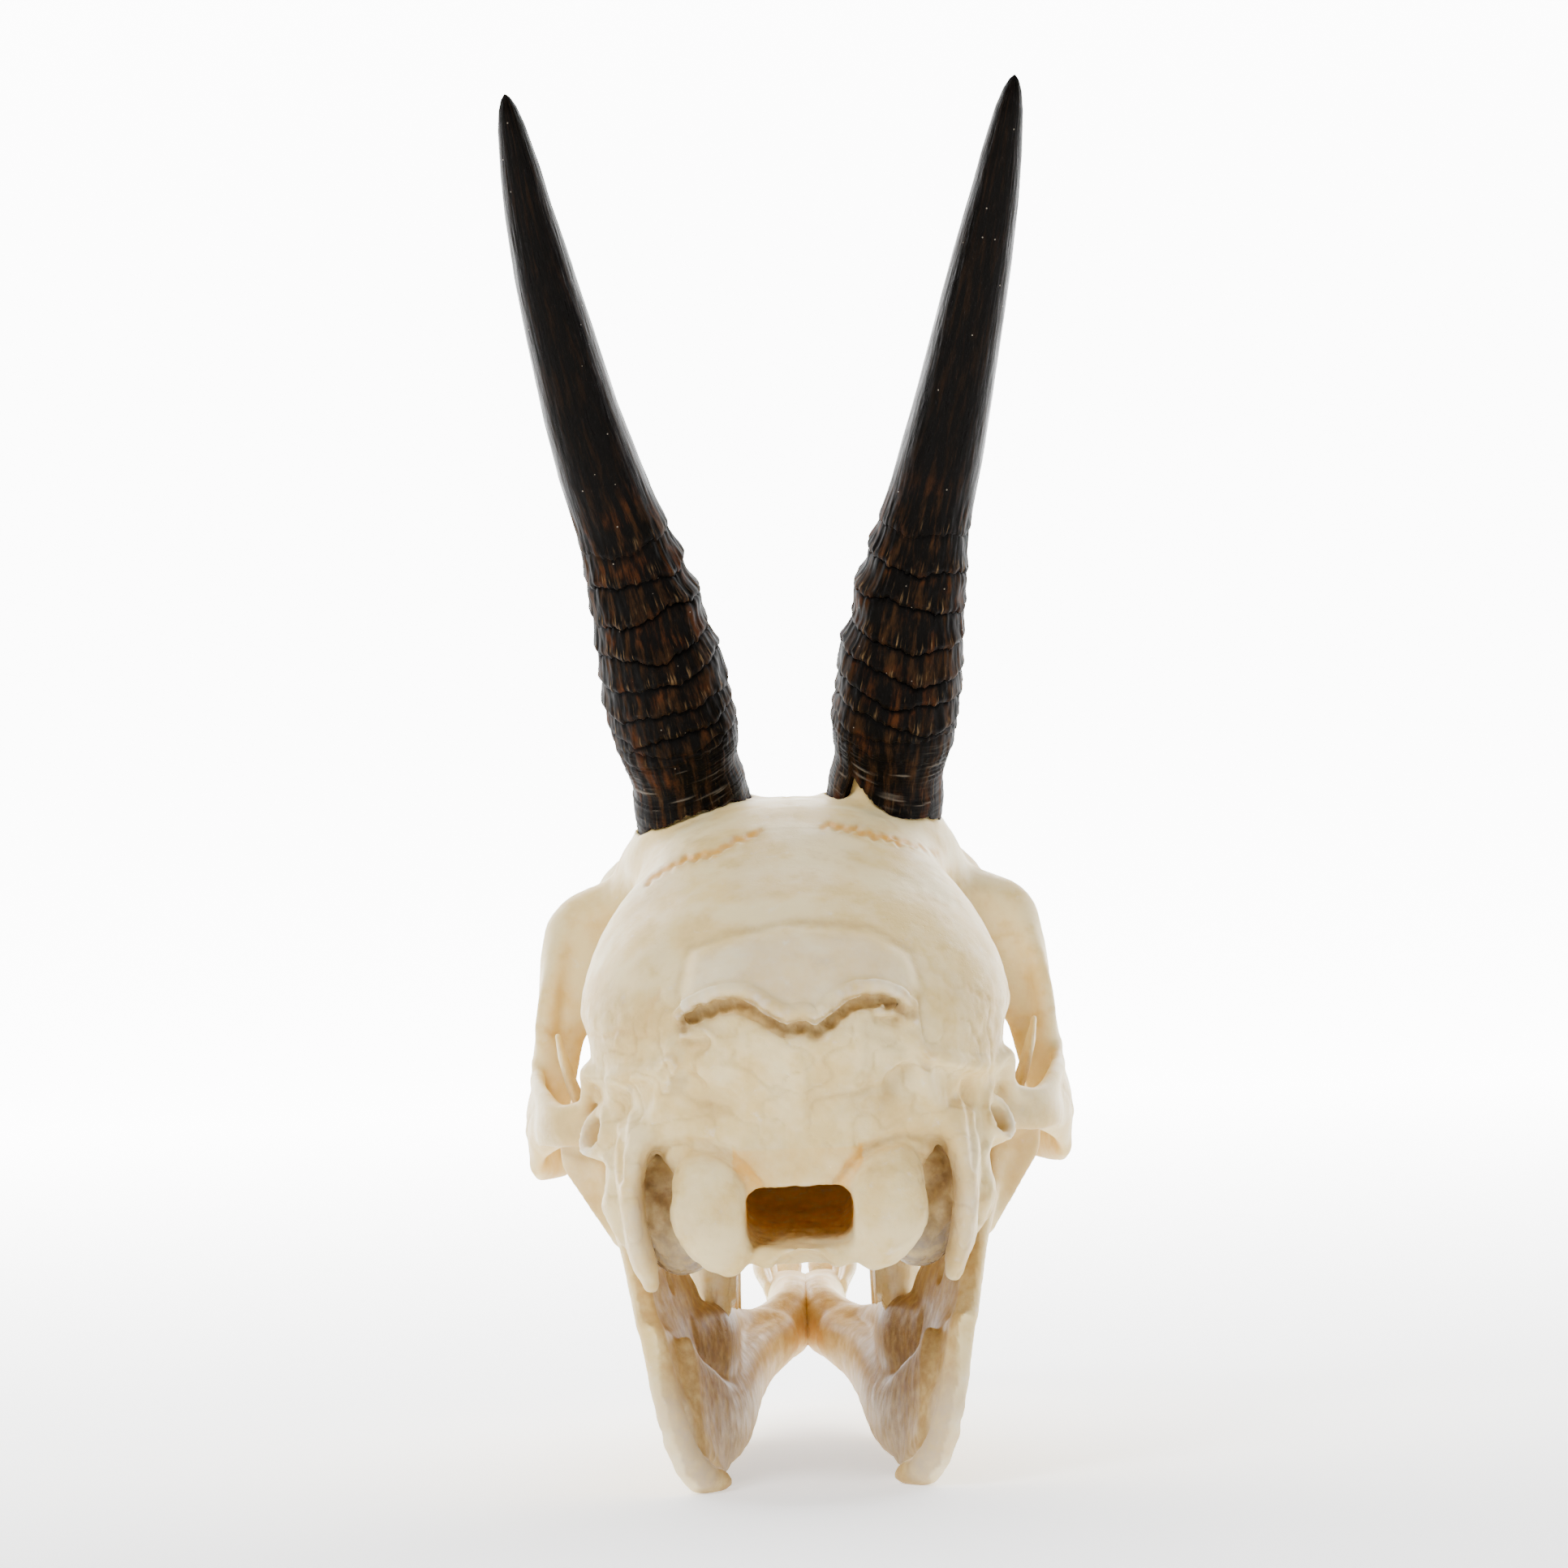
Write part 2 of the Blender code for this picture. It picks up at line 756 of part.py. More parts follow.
def foramen_forms():
    """The foramen magnum, the start of the braincase behind it and the notch under it."""
    hole = loft(
        [
            (0, -6.0, 41.4, 8.0, 4.6),
            (0, 5.0, 41.5, 8.0, 4.5),
            (0, 11.0, 42.8, 8.0, 5.0),
            (0, 18.0, 48.5, 8.6, 8.4),
            (0, 30.0, 60.0, 12.0, 12.0),
        ],
        power=4.4,
        sides=20,
        steps=2,
        cap=0.3,
    )
    notch = rod([(0, -4, 31.3, 5.0), (0, 7, 31.3, 5.0), (0, 12, 29.5, 3.0)])
    return [hole, notch]


# Teeth

UPPER_TEETH = (  # from the last molar forwards: distance from the midline, length, width
    (17.8, 11.0, 9.0),
    (18.9, 11.0, 9.6),
    (18.8, 9.6, 9.2),
    (18.0, 6.9, 8.0),
    (16.8, 7.3, 7.0),
    (15.4, 7.2, 5.6),
)
LOWER_TEETH = (
    (14.2, 14.8, 6.4),
    (14.6, 10.6, 6.6),
    (14.6, 9.0, 6.0),
    (14.2, 7.0, 5.0),
    (13.5, 6.6, 4.4),
    (12.7, 5.0, 3.6),
)
LAST_MOLAR_REAR = 60.6  # y of the rear of the last molars
TOOTH_GAP = 0.3  # between neighbouring crowns
BITE_REAR = (66.0, 32.4)  # y and z of the biting line, behind and in front
BITE_FRONT = (117.0, 26.4)
BITE_GAP = 0.9  # between the upper and lower crowns
ROOT_DEPTH = 8.0  # how far a crown is sunk in the jaw


def bite_height(y):
    share = (y - BITE_REAR[0]) / (BITE_FRONT[0] - BITE_REAR[0])
    return BITE_REAR[1] + share * (BITE_FRONT[1] - BITE_REAR[1])


def crown(x, rear, length, width, height, rise):
    """A tooth's lobes: columns with a narrower waist between them and a worn top.

    rise is +1 for a lower tooth and -1 for an upper one.
    """
    lobes = max(1, round(length / 5.2))
    half_long = length / (2 * lobes) * (1.08 if lobes > 1 else 1.0)
    forms = []
    for centre in np.linspace(rear + half_long, rear + length - half_long, lobes):
        edge = bite_height(centre) - rise * BITE_GAP / 2
        root = edge - rise * (height + ROOT_DEPTH)
        neck = edge - rise * height
        rows = [
            (x, centre, root, 0.36 * width, half_long * 0.8),
            (x, centre, neck, 0.43 * width, half_long * 0.92),
            (x, centre, edge - rise * 1.6, 0.5 * width, half_long),
            (x, centre, edge, 0.4 * width, half_long * 0.86),
        ]
        forms.append(loft(rows, power=2.8, sides=8, steps=1, cap=0))
    return forms


def tooth_row(teeth, height, rise):
    forms, rear = [], LAST_MOLAR_REAR
    for x, length, width in teeth:
        forms += crown(x, rear, length, width, height, rise)
        rear += length + TOOTH_GAP
    return forms


def incisors():
    """The right half's four spade-shaped front teeth, the first much the widest."""
    forms = []
    spots = ((3.15, 157.0, 2.7), (6.1, 154.2, 1.5), (7.1, 151.2, 1.3), (7.5, 148.3, 1.15))
    for x, y, half_wide in spots:
        fan = (x - 1.8) * 0.2
        rows = [
            (x - fan * 2.2, y - 9.0, 17.6, half_wide * 0.5, 1.5),
            (x - fan, y - 3.5, 20.4, half_wide * 0.72, 1.3),
            (x, y, 22.8, half_wide, 0.95),
            (x + fan * 0.3, y + 2.2, 24.3, half_wide * 0.9, 0.5),
        ]
        forms.append(loft(rows, sides=8, steps=1, cap=0))
    return forms


# Nasals and premaxillae

NASAL = (
    (3.2, 84.5, 92.6, 2.4, 1.2),
    (4.3, 92.0, 88.8, 4.0, 1.4),
    (4.7, 104.0, 81.2, 4.4, 1.5),
    (4.6, 118.0, 72.6, 4.3, 1.5),
    (4.3, 132.0, 64.2, 4.0, 1.4),
    (3.0, 144.5, 57.4, 2.3, 0.9),
)
PREMAXILLA = (
    (9.4, 122.0, 57.8, 1.0, 2.2),
    (10.2, 129.0, 53.6, 1.3, 4.4),
    (10.0, 136.5, 48.0, 1.5, 6.2),
    (9.2, 144.0, 42.6, 1.6, 6.6),
    (8.0, 151.0, 38.4, 1.8, 5.0),
    (6.4, 157.5, 35.0, 2.4, 3.2),
    (4.6, 162.0, 33.2, 2.8, 1.9),
    (3.2, SKULL_LENGTH - 1.2, 32.2, 2.0, 1.1),
)
PALATINE_PROCESS = (
    (3.8, 160.5, 33.2, 1.5, 1.2),
    (2.4, 150.0, 35.0, 1.1, 1.2),
    (2.1, 141.5, 36.4, 0.9, 1.1),
)


def nasal(grow=0.0):
    return loft(NASAL, sides=10, steps=2, power=2.6, grow=grow)


def premaxilla(grow=0.0):
    return loft(PREMAXILLA, sides=12, steps=1, grow=grow)


def build_cranium(look):
    masses = [braincase(), forehead(), rostrum(), palate_roof(), base_beam()]
    for form in (cheek(), face_side(), brow(), brow_front()):
        masses += pair(form)
    bone = fuse_by_voxels(mesh_object("cranium", masses), smoothing=6)
    cutter = fuse_by_voxels(mesh_object("hollows", cranium_cutters()))
    boolean(bone, "DIFFERENCE", [cutter])
    details = [*occiput_middle(), pedicle(1), pedicle(-1)]
    for form in (*occiput_side(), *arch_forms()):
        details += pair(form)
    boolean(bone, "UNION", [fuse_by_voxels(mesh_object("details", details))])
    pockets = [form for pocket in condyle_pockets() for form in pair(pocket)]
    boolean(bone, "DIFFERENCE", [fuse_by_voxels(mesh_object("pockets", pockets))])
    fuse_by_voxels(bone, smoothing=3)
    reduce_faces(bone, CRANIUM_FACES)
    holes = [mesh_object(f"hole_{i}", [form]) for i, form in enumerate(foramen_forms())]
    boolean(bone, "DIFFERENCE", holes)
    ear_path = [(25.0, 21.0, 51.6, 1.2), (28.0, 19.2, 53.1, 1.8), (33.5, 15.4, 55.6, 3.0)]
    ears = mesh_object("ear_holes", pair(rod(ear_path, side=AXIS_Y)))
    beds = [*pair(nasal(1.3 * CONTACT_GAP)), *pair(premaxilla(1.2 * CONTACT_GAP))]
    beds += [*pair(jaw_condyle(1.5 * CONTACT_GAP)), horn_seat(1), horn_seat(-1)]
    boolean(bone, "DIFFERENCE", [ears])
    boolean(bone, "DIFFERENCE", [mesh_object(f"bed_{i}", [bed]) for i, bed in enumerate(beds)])
    cores = [mesh_object(f"core_{side}", [horn_core(side)]) for side in (1, -1)]
    boolean(bone, "UNION", cores)
    teeth = [
        mesh_object(f"tooth_{i}", [lobe])
        for i, lobe in enumerate(
            form for lobe in tooth_row(UPPER_TEETH, 6.0, -1) for form in pair(lobe)
        )
    ]
    boolean(bone, "UNION", teeth)
    return finish(keep_largest(bone), look)


# Lower jaw


def jaw_condyle(grow=0.0):
    radii = (6.6 + grow, 3.4 + grow, 2.6 + grow)
    return ellipsoid((29.6, 30.0, 52.6), radii, turn=(0, -6, 10), fineness=2)


def mandible_forms():
    """The right half of the lower jaw."""
    tooth_edge = [
        (18.2, 44, 20.0, 1.6, 3.6),
        (16.4, 53, 18.6, 2.6, 6.2),
        (15.0, 62, 17.6, 3.5, 7.2),
        (14.7, 77, 16.4, 3.8, 7.6),
        (14.5, 92, 15.8, 3.7, 7.4),
        (13.6, 105, 15.2, 3.3, 6.4),
        (11.2, 114, 14.6, 3.3, 5.0),
        (7.0, 121, 14.4, 4.2, 4.8),
        (2.8, 129, 15.8, 3.8, 5.6),
        (2.4, 138, 17.8, 3.6, 4.8),
        (2.6, 147, 19.0, 4.2, 3.2),
        (3.2, 152.5, 20.4, 4.2, 2.2),
    ]
    lower_edge = [
        (18.2, 19, 12.4, 2.0, 11.0),
        (16.8, 30, 10.6, 2.2, 8.6),
        (15.2, 42, 8.6, 2.7, 7.6),
        (13.8, 54, 6.6, 3.1, 6.4),
        (12.8, 67, 6.2, 3.3, 6.3),
        (11.9, 80, 6.6, 3.3, 6.4),
        (10.9, 92, 8.2, 3.1, 6.4),
        (9.6, 102, 10.2, 2.9, 5.8),
        (7.6, 111, 12.0, 2.8, 4.8),
        (4.6, 119, 13.8, 3.2, 4.0),
    ]
    blade = [
        (15.6, 29.0, 3.4, 1.6, 15.5),
        (16.6, 31.0, 8.0, 1.5, 20.8),
        (17.8, 33.0, 14.0, 1.5, 24.2),
        (19.6, 35.5, 22.0, 1.5, 25.6),
        (21.8, 36.0, 30.0, 1.5, 22.0),
        (24.2, 36.5, 38.0, 1.5, 17.0),
        (26.0, 36.5, 44.0, 1.5, 13.5),
    ]
    neck = [
        (25.4, 29.5, 38.0, 1.7, 8.0),
        (27.0, 30.0, 43.0, 1.8, 6.6),
        (28.8, 30.2, 49.5, 2.8, 3.4),
    ]
    fan = [
        (27.2, 27.6, 38.0, 1.6, 1.6),
        (28.4, 28.2, 41.8, 2.8, 1.4),
        (29.4, 28.8, 45.5, 4.2, 1.5),
        (30.0, 29.4, 49.0, 5.8, 1.8),
        (29.9, 29.8, 51.2, 6.2, 2.0),
    ]
    coronoid = [
        (25.0, 47.0, 40.0, 1.4, 6.6),
        (28.0, 47.0, 48.0, 1.3, 5.4),
        (31.6, 46.4, 54.0, 1.2, 4.6),
        (33.9, 45.6, 58.6, 1.1, 3.8),
        (35.4, 44.2, 63.6, 1.0, 2.6),
        (36.2, 42.6, 67.6, 0.8, 1.3),
    ]
    rear_edge = [
        (27.6, 27.4, 45.0, 1.5),
        (26.2, 22.0, 39.0, 1.6),
        (24.4, 16.8, 31.0, 1.6),
        (22.4, 11.8, 21.0, 1.8),
        (20.8, 10.0, 13.0, 2.0),
        (18.8, 11.6, 6.4, 2.2),
        (16.4, 15.0, 2.9, 2.3),
        (14.0, 17.6, 2.0, 1.7),
    ]
    angle_plate = [
        (20.0, 15.0, 13.0, 1.6, 5.5),
        (18.9, 16.0, 8.0, 1.8, 5.5),
        (17.2, 18.5, 4.2, 1.8, 5.0),
    ]
    turned = Vector((math.cos(math.radians(9)), math.sin(math.radians(9)), 0))
    return [
        loft(tooth_edge, power=2.3),
        loft(lower_edge, power=2.2),
        loft(blade, side=turned, power=2.4, cap=0.5),
        loft(angle_plate),
        loft(neck, side=turned),
        loft(fan),
        loft(coronoid),
        rod(rear_edge),
        jaw_condyle(),
    ]


def build_mandible(name, side, look):
    turn = (lambda form: form) if side > 0 else mirrored
    bone = mesh_object(name, [turn(form) for form in mandible_forms()])
    fuse_by_voxels(bone, voxel=0.6, smoothing=3)
    reduce_faces(bone, MANDIBLE_FACES)
    half = mesh_object("midline", [turn(box((-20, 90, -5), (SYMPHYSIS_GAP / 2, 180, 60)))])
    floor = mesh_object("floor", [turn(box((-60, -20, -9), (60, 180, FLOOR_FLAT)))])
    boolean(bone, "DIFFERENCE", [half, floor])
    teeth = [
        mesh_object(f"tooth_{i}", [turn(form)])
        for i, form in enumerate([*tooth_row(LOWER_TEETH, 6.8, 1), *incisors()])
    ]
    boolean(bone, "UNION", teeth)
    return finish(keep_largest(bone), look)


# Horn sheaths

HORN_DEPTH = 1.1  # a horn's front-to-back size as a share of its width
HORN_SLANT = 1.2  # how much lower the sheath's outer edge hangs
SLANT_REACH = 0.1  # the share of the length over which that slant dies out
CORE_DEPTH = 1.08  # a horn core's front-to-back size as a share of its width
HORN_SIDES = 12
HORN_OUTLINE = (  # share of the length, radius
    (0.0, 8.45),
    (0.06, 8.6),
    (0.12, 9.0),
    (0.20, 9.3),
    (0.30, 8.6),
    (0.36, 7.6),
    (0.43, 6.65),
    (0.50, 6.0),
    (0.62, 5.0),
    (0.767, 3.85),
    (0.90, 2.5),
    (0.955, 1.65),
    (0.98, 1.1),
    (0.993, 0.6),
)
HORN_RINGS = (  # share of the length, height of the ridge
    (0.137, 0.45),
    (0.165, 0.65),
    (0.195, 0.85),
    (0.232, 0.95),
    (0.273, 1.0),
    (0.320, 1.0),
    (0.367, 0.8),
    (0.412, 0.5),
)
RING_HALF_WIDTH = 0.0135
CAVITY = ((0.0, 8.0), (0.03, 7.9), (0.062, 7.4))  # share of the length, radius
CAVITY_END = 0.070


def horn_radius(share):
    shares, radii = zip(*HORN_OUTLINE)
    base = np.interp(share, shares, radii)
    ridge = max(
        height * max(0.0, 1 - abs(share - at) / RING_HALF_WIDTH) for at, height in HORN_RINGS
    )
    return base + ridge


def horn_ring(side, share, radius, deep, sides, slant=0.0, drop=0.0):
    """A ring round the horn, drop lower, whose outer side hangs lower still by the slant."""
    centre, axis, out, front = horn_frame(side, share)
    turns = np.linspace(0, 2 * math.pi, sides, endpoint=False)
    u, v = np.cos(turns), np.sin(turns)
    return (
        centre
        + np.outer(u * radius, out)
        + np.outer(v * radius * deep, front)
        - np.outer(u * slant + drop, axis)
    )


def outward(form):
    """The same closed form with its faces turned to point outwards."""
    points, faces = form
    corners = np.array([[points[i] for i in face[:3]] for face in faces])
    middle = points.mean(axis=0)
    normals = np.cross(corners[:, 1] - corners[:, 0], corners[:, 2] - corners[:, 0])
    facing = ((corners.mean(axis=1) - middle) * normals).sum()
    return (points, faces) if facing > 0 else (points, [tuple(reversed(f)) for f in faces])


def build_horn(name, side, look):
    """A horn with a cavity at its base that fits over the bony stub."""
    plain = {0.0, 0.05, 0.10, 0.46, 0.52, 0.60, 0.68, 0.76, 0.84, 0.90, 0.95, 0.98, 0.993}
    ridges = {
        round(at + step, 4)
        for at, _ in HORN_RINGS
        for step in (-RING_HALF_WIDTH, 0, RING_HALF_WIDTH)
    }
    rings = []
    for share in sorted(plain | ridges, reverse=True):
        slant = HORN_SLANT * max(0.0, 1 - share / SLANT_REACH)
        rings.append(horn_ring(side, share, horn_radius(share), HORN_DEPTH, HORN_SIDES, slant))
    for share, radius in CAVITY:
        slant = HORN_SLANT * max(0.0, 1 - share / SLANT_REACH)
        rings.append(horn_ring(side, share, radius, CORE_DEPTH, HORN_SIDES, slant))
    tip = horn_frame(side, 1.0)[0]
    end = horn_frame(side, CAVITY_END)[0]
    horn = mesh_object(name, [tube(rings, tip, end)])
    skin = bmesh.new()
    skin.from_mesh(horn.data)
    bmesh.ops.recalc_face_normals(skin, faces=skin.faces)
    skin.to_mesh(horn.data)
    skin.free()
    return finish(horn, look)


def build_face_bones(look):
    """The paired nasals and premaxillae, each a bone of its own."""
    for word, turn in (("right", lambda form: form), ("left", mirrored)):
        finish(mesh_object(f"nasal_{word}", [turn(nasal())]), look)
        bone = mesh_object(f"premaxilla_{word}", [turn(premaxilla())])
        process = mesh_object("process", [turn(loft(PALATINE_PROCESS, sides=8, steps=2))])
        boolean(bone, "UNION", [process])
        finish(keep_largest(bone), look)


def main():
    clear_scene()
    bone = material("bone", (0.83, 0.74, 0.58), 0.55)
    horn = material("horn", (0.045, 0.032, 0.022), 0.42)
    build_cranium(bone)
    build_face_bones(bone)
    for word, side in (("right", 1), ("left", -1)):
        build_mandible(f"mandible_{word}", side, bone)
        build_horn(f"horn_{word}", side, horn)


main()
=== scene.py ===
"""A common duiker's skull on its lower jaw, seen from behind.

Sizes are in millimetres: x towards the animal's right, y forwards from the rear of the occipital
condyles, z up from the floor. Bone is modelled as clay: a signed distance field on a grid, to which
lofted forms are added and cut with soft joins. Its skin is then carved and painted point by point.
"""

import math

import bpy
import numpy as np
import openvdb as vdb
from mathutils import Matrix, Vector


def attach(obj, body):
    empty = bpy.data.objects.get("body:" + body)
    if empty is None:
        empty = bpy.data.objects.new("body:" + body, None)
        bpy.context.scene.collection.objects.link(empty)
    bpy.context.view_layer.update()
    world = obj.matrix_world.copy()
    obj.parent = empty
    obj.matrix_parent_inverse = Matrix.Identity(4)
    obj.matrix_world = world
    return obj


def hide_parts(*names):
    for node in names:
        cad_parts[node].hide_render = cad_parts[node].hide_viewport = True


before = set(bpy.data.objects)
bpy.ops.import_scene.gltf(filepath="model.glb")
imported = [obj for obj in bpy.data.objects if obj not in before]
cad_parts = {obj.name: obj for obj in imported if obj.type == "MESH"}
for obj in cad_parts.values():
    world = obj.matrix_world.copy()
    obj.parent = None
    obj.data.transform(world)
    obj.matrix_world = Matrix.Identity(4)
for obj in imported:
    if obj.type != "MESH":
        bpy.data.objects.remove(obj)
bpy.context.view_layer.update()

MM = 0.001
ORIGIN = np.array([0.0, 82.2, 0.35])  # the frame's origin, in millimetres of the skull
STEP = 0.42  # the clay's grid
FINER = 0.8  # how much finer the grid of a small piece is
BAND = 5.0  # how far from its skin the clay is measured
AXIS_X = np.array([1.0, 0, 0])
AXIS_Y = np.array([0, 1.0, 0])

PHOTO_SIDE = 1932  # pixels
FOCAL_PIXELS = 8051
CAMERA_SPOT = (-0.4, -950.0, 104.6)
CAMERA_ROLL_DEG = -2.2

# Driving sizes, as in the solids
SKULL_LENGTH = 165.0
ARCH_HALF_WIDTH = 42.0
BRAINCASE_HALF_WIDTH = 32.3
CROWN_HEIGHT = 101.5
ORBIT_RADIUS = 16.5
HORN_LENGTH = 121.0
HORN_ROOT = (15.3, 58.5, 99.0)  # where the right horn's axis starts
HORN_SPREAD_DEG = {1: 11.0, -1: 12.2}
HORN_RAKE_DEG = 27.0
HORN_CURL_DEG = 6.0
CONTACT_GAP = 0.35
FLOOR_FLAT = 0.35  # the height at which the jaw is cut flat to stand
SYMPHYSIS_OVERLAP = 0.9  # how far each half of the jaw reaches past the middle
HORN_BOW = {  # share of the length, and how far the horn bows inwards there
    1: (
        (0.0, 0.7), (0.1, 1.2), (0.33, 1.7), (0.42, 1.4), (0.50, 0.7), (0.58, 0.2), (0.66, -0.2),
        (0.85, -1.0), (1.0, -1.1),
    ),
    -1: (
        (0.0, 1.2), (0.1, 1.7), (0.33, 1.9), (0.42, 1.5), (0.50, 0.6), (0.58, 0.1), (0.75, 0.0),
        (0.85, 0.2), (1.0, 1.2),
    ),
}
OCCIPUT_SHIFT = -0.5  # how far the middle of the occiput lies to the left


# Forms: closed meshes as (points, triangles)


def smooth_rows(stations, steps):
    """Catmull-Rom rows through the stations, with steps rows in each span."""
    rows = np.array(stations, float)
    ends = np.vstack([2 * rows[0] - rows[1], rows, 2 * rows[-1] - rows[-2]])
    found = []
    for before, start, end, after in zip(ends, ends[1:], ends[2:], ends[3:]):
        for t in np.arange(steps) / steps:
            found.append(
                0.5
                * (
                    2 * start
                    + (end - before) * t
                    + (2 * before - 5 * start + 4 * end - after) * t**2
                    + (3 * start - before - 3 * end + after) * t**3
                )
            )
    found.append(rows[-1])
    return np.array(found)


def tube(rings, start_pole, end_pole):
    """A closed mesh of triangles from rings of points and a pole at either end."""
    rings = np.asarray(rings)
    count, sides = rings.shape[:2]
    points = np.vstack([rings.reshape(-1, 3), start_pole, end_pole])
    i = np.arange(sides)
    j = (i + 1) % sides
    triangles = [np.stack([np.full(sides, count * sides), j, i], 1)]
    for ring in range(count - 1):
        low, high = ring * sides, (ring + 1) * sides
        triangles.append(np.stack([low + i, low + j, high + j], 1))
        triangles.append(np.stack([low + i, high + j, high + i], 1))
    top = (count - 1) * sides
    triangles.append(np.stack([np.full(sides, count * sides + 1), top + i, top + j], 1))
    return points, np.vstack(triangles)


CAP_TURNS = np.radians([75, 60, 45, 30, 15])
ELLIPSOID_SIDES = 36


def loft(stations, side=AXIS_X, power=2.0, sides=36, steps=6, cap=1.0):
    """A closed form through stations of (x, y, z, half width, half height), with round ends.

    The half width lies along the side axis. cap is an end's length as a share of its smaller half
    size.
    """
    rows = smooth_rows(stations, steps)
    spine, halves = rows[:, :3], rows[:, 3:5]
    tangents = np.gradient(spine, axis=0)
    tangents /= np.linalg.norm(tangents, axis=1)[:, None]
    across = np.array(side) - tangents * (tangents @ np.array(side))[:, None]
    across /= np.linalg.norm(across, axis=1)[:, None]
    upward = np.cross(tangents, across)
    turns = np.linspace(0, 2 * math.pi, sides, endpoint=False)
    c, s = np.cos(turns), np.sin(turns)
    u = np.sign(c) * np.abs(c) ** (2 / power)
    v = np.sign(s) * np.abs(s) ** (2 / power)

    def ring(i, scale, shift):
        wide = np.outer(u * halves[i, 0] * scale, across[i])
        high = np.outer(v * halves[i, 1] * scale, upward[i])
        return spine[i] + tangents[i] * shift + wide + high

    first, last = cap * halves[0].min(), cap * halves[-1].min()
    caps = CAP_TURNS if cap else ()
    rings = [ring(0, math.cos(t), -math.sin(t) * first) for t in caps]
    rings += [ring(i, 1, 0) for i in range(len(rows))]
    rings += [ring(-1, math.cos(t), math.sin(t) * last) for t in caps[::-1]]
    return tube(rings, spine[0] - tangents[0] * first, spine[-1] + tangents[-1] * last)


def ellipsoid(centre, radii, turn=(0, 0, 0)):
    """An ellipsoid, turned by degrees about X, Y and Z."""
    turns = np.linspace(0, 2 * math.pi, ELLIPSOID_SIDES, endpoint=False)
    heights = np.linspace(-math.pi / 2, math.pi / 2, ELLIPSOID_SIDES // 2)[1:-1]
    spin = Matrix.Rotation(math.radians(turn[2]), 3, "Z")
    spin @= Matrix.Rotation(math.radians(turn[1]), 3, "Y")
    spin @= Matrix.Rotation(math.radians(turn[0]), 3, "X")
    rings = [
        np.stack([math.cos(h) * np.cos(turns), math.cos(h) * np.sin(turns), 0 * turns + math.sin(h)], 1)
        for h in heights
    ]
    points, triangles = tube(rings, (0, 0, -1), (0, 0, 1))
    return points * radii @ np.array(spin).T + centre, triangles


def mirrored(form):
    points, triangles = form
    return points * (-1, 1, 1), triangles[:, ::-1]


# Clay


def soft_min(a, b, blend):
    """The smaller of two distances, rounded where they cross."""
    if not blend:
        return np.minimum(a, b)
    near = np.maximum(blend - np.abs(a - b), 0) / blend
    return np.minimum(a, b) - near * near * blend / 4


VIEWS = {"rear": (1, -1), "right": (0, 1), "left": (0, -1), "top": (2, 1)}  # axis and way it faces


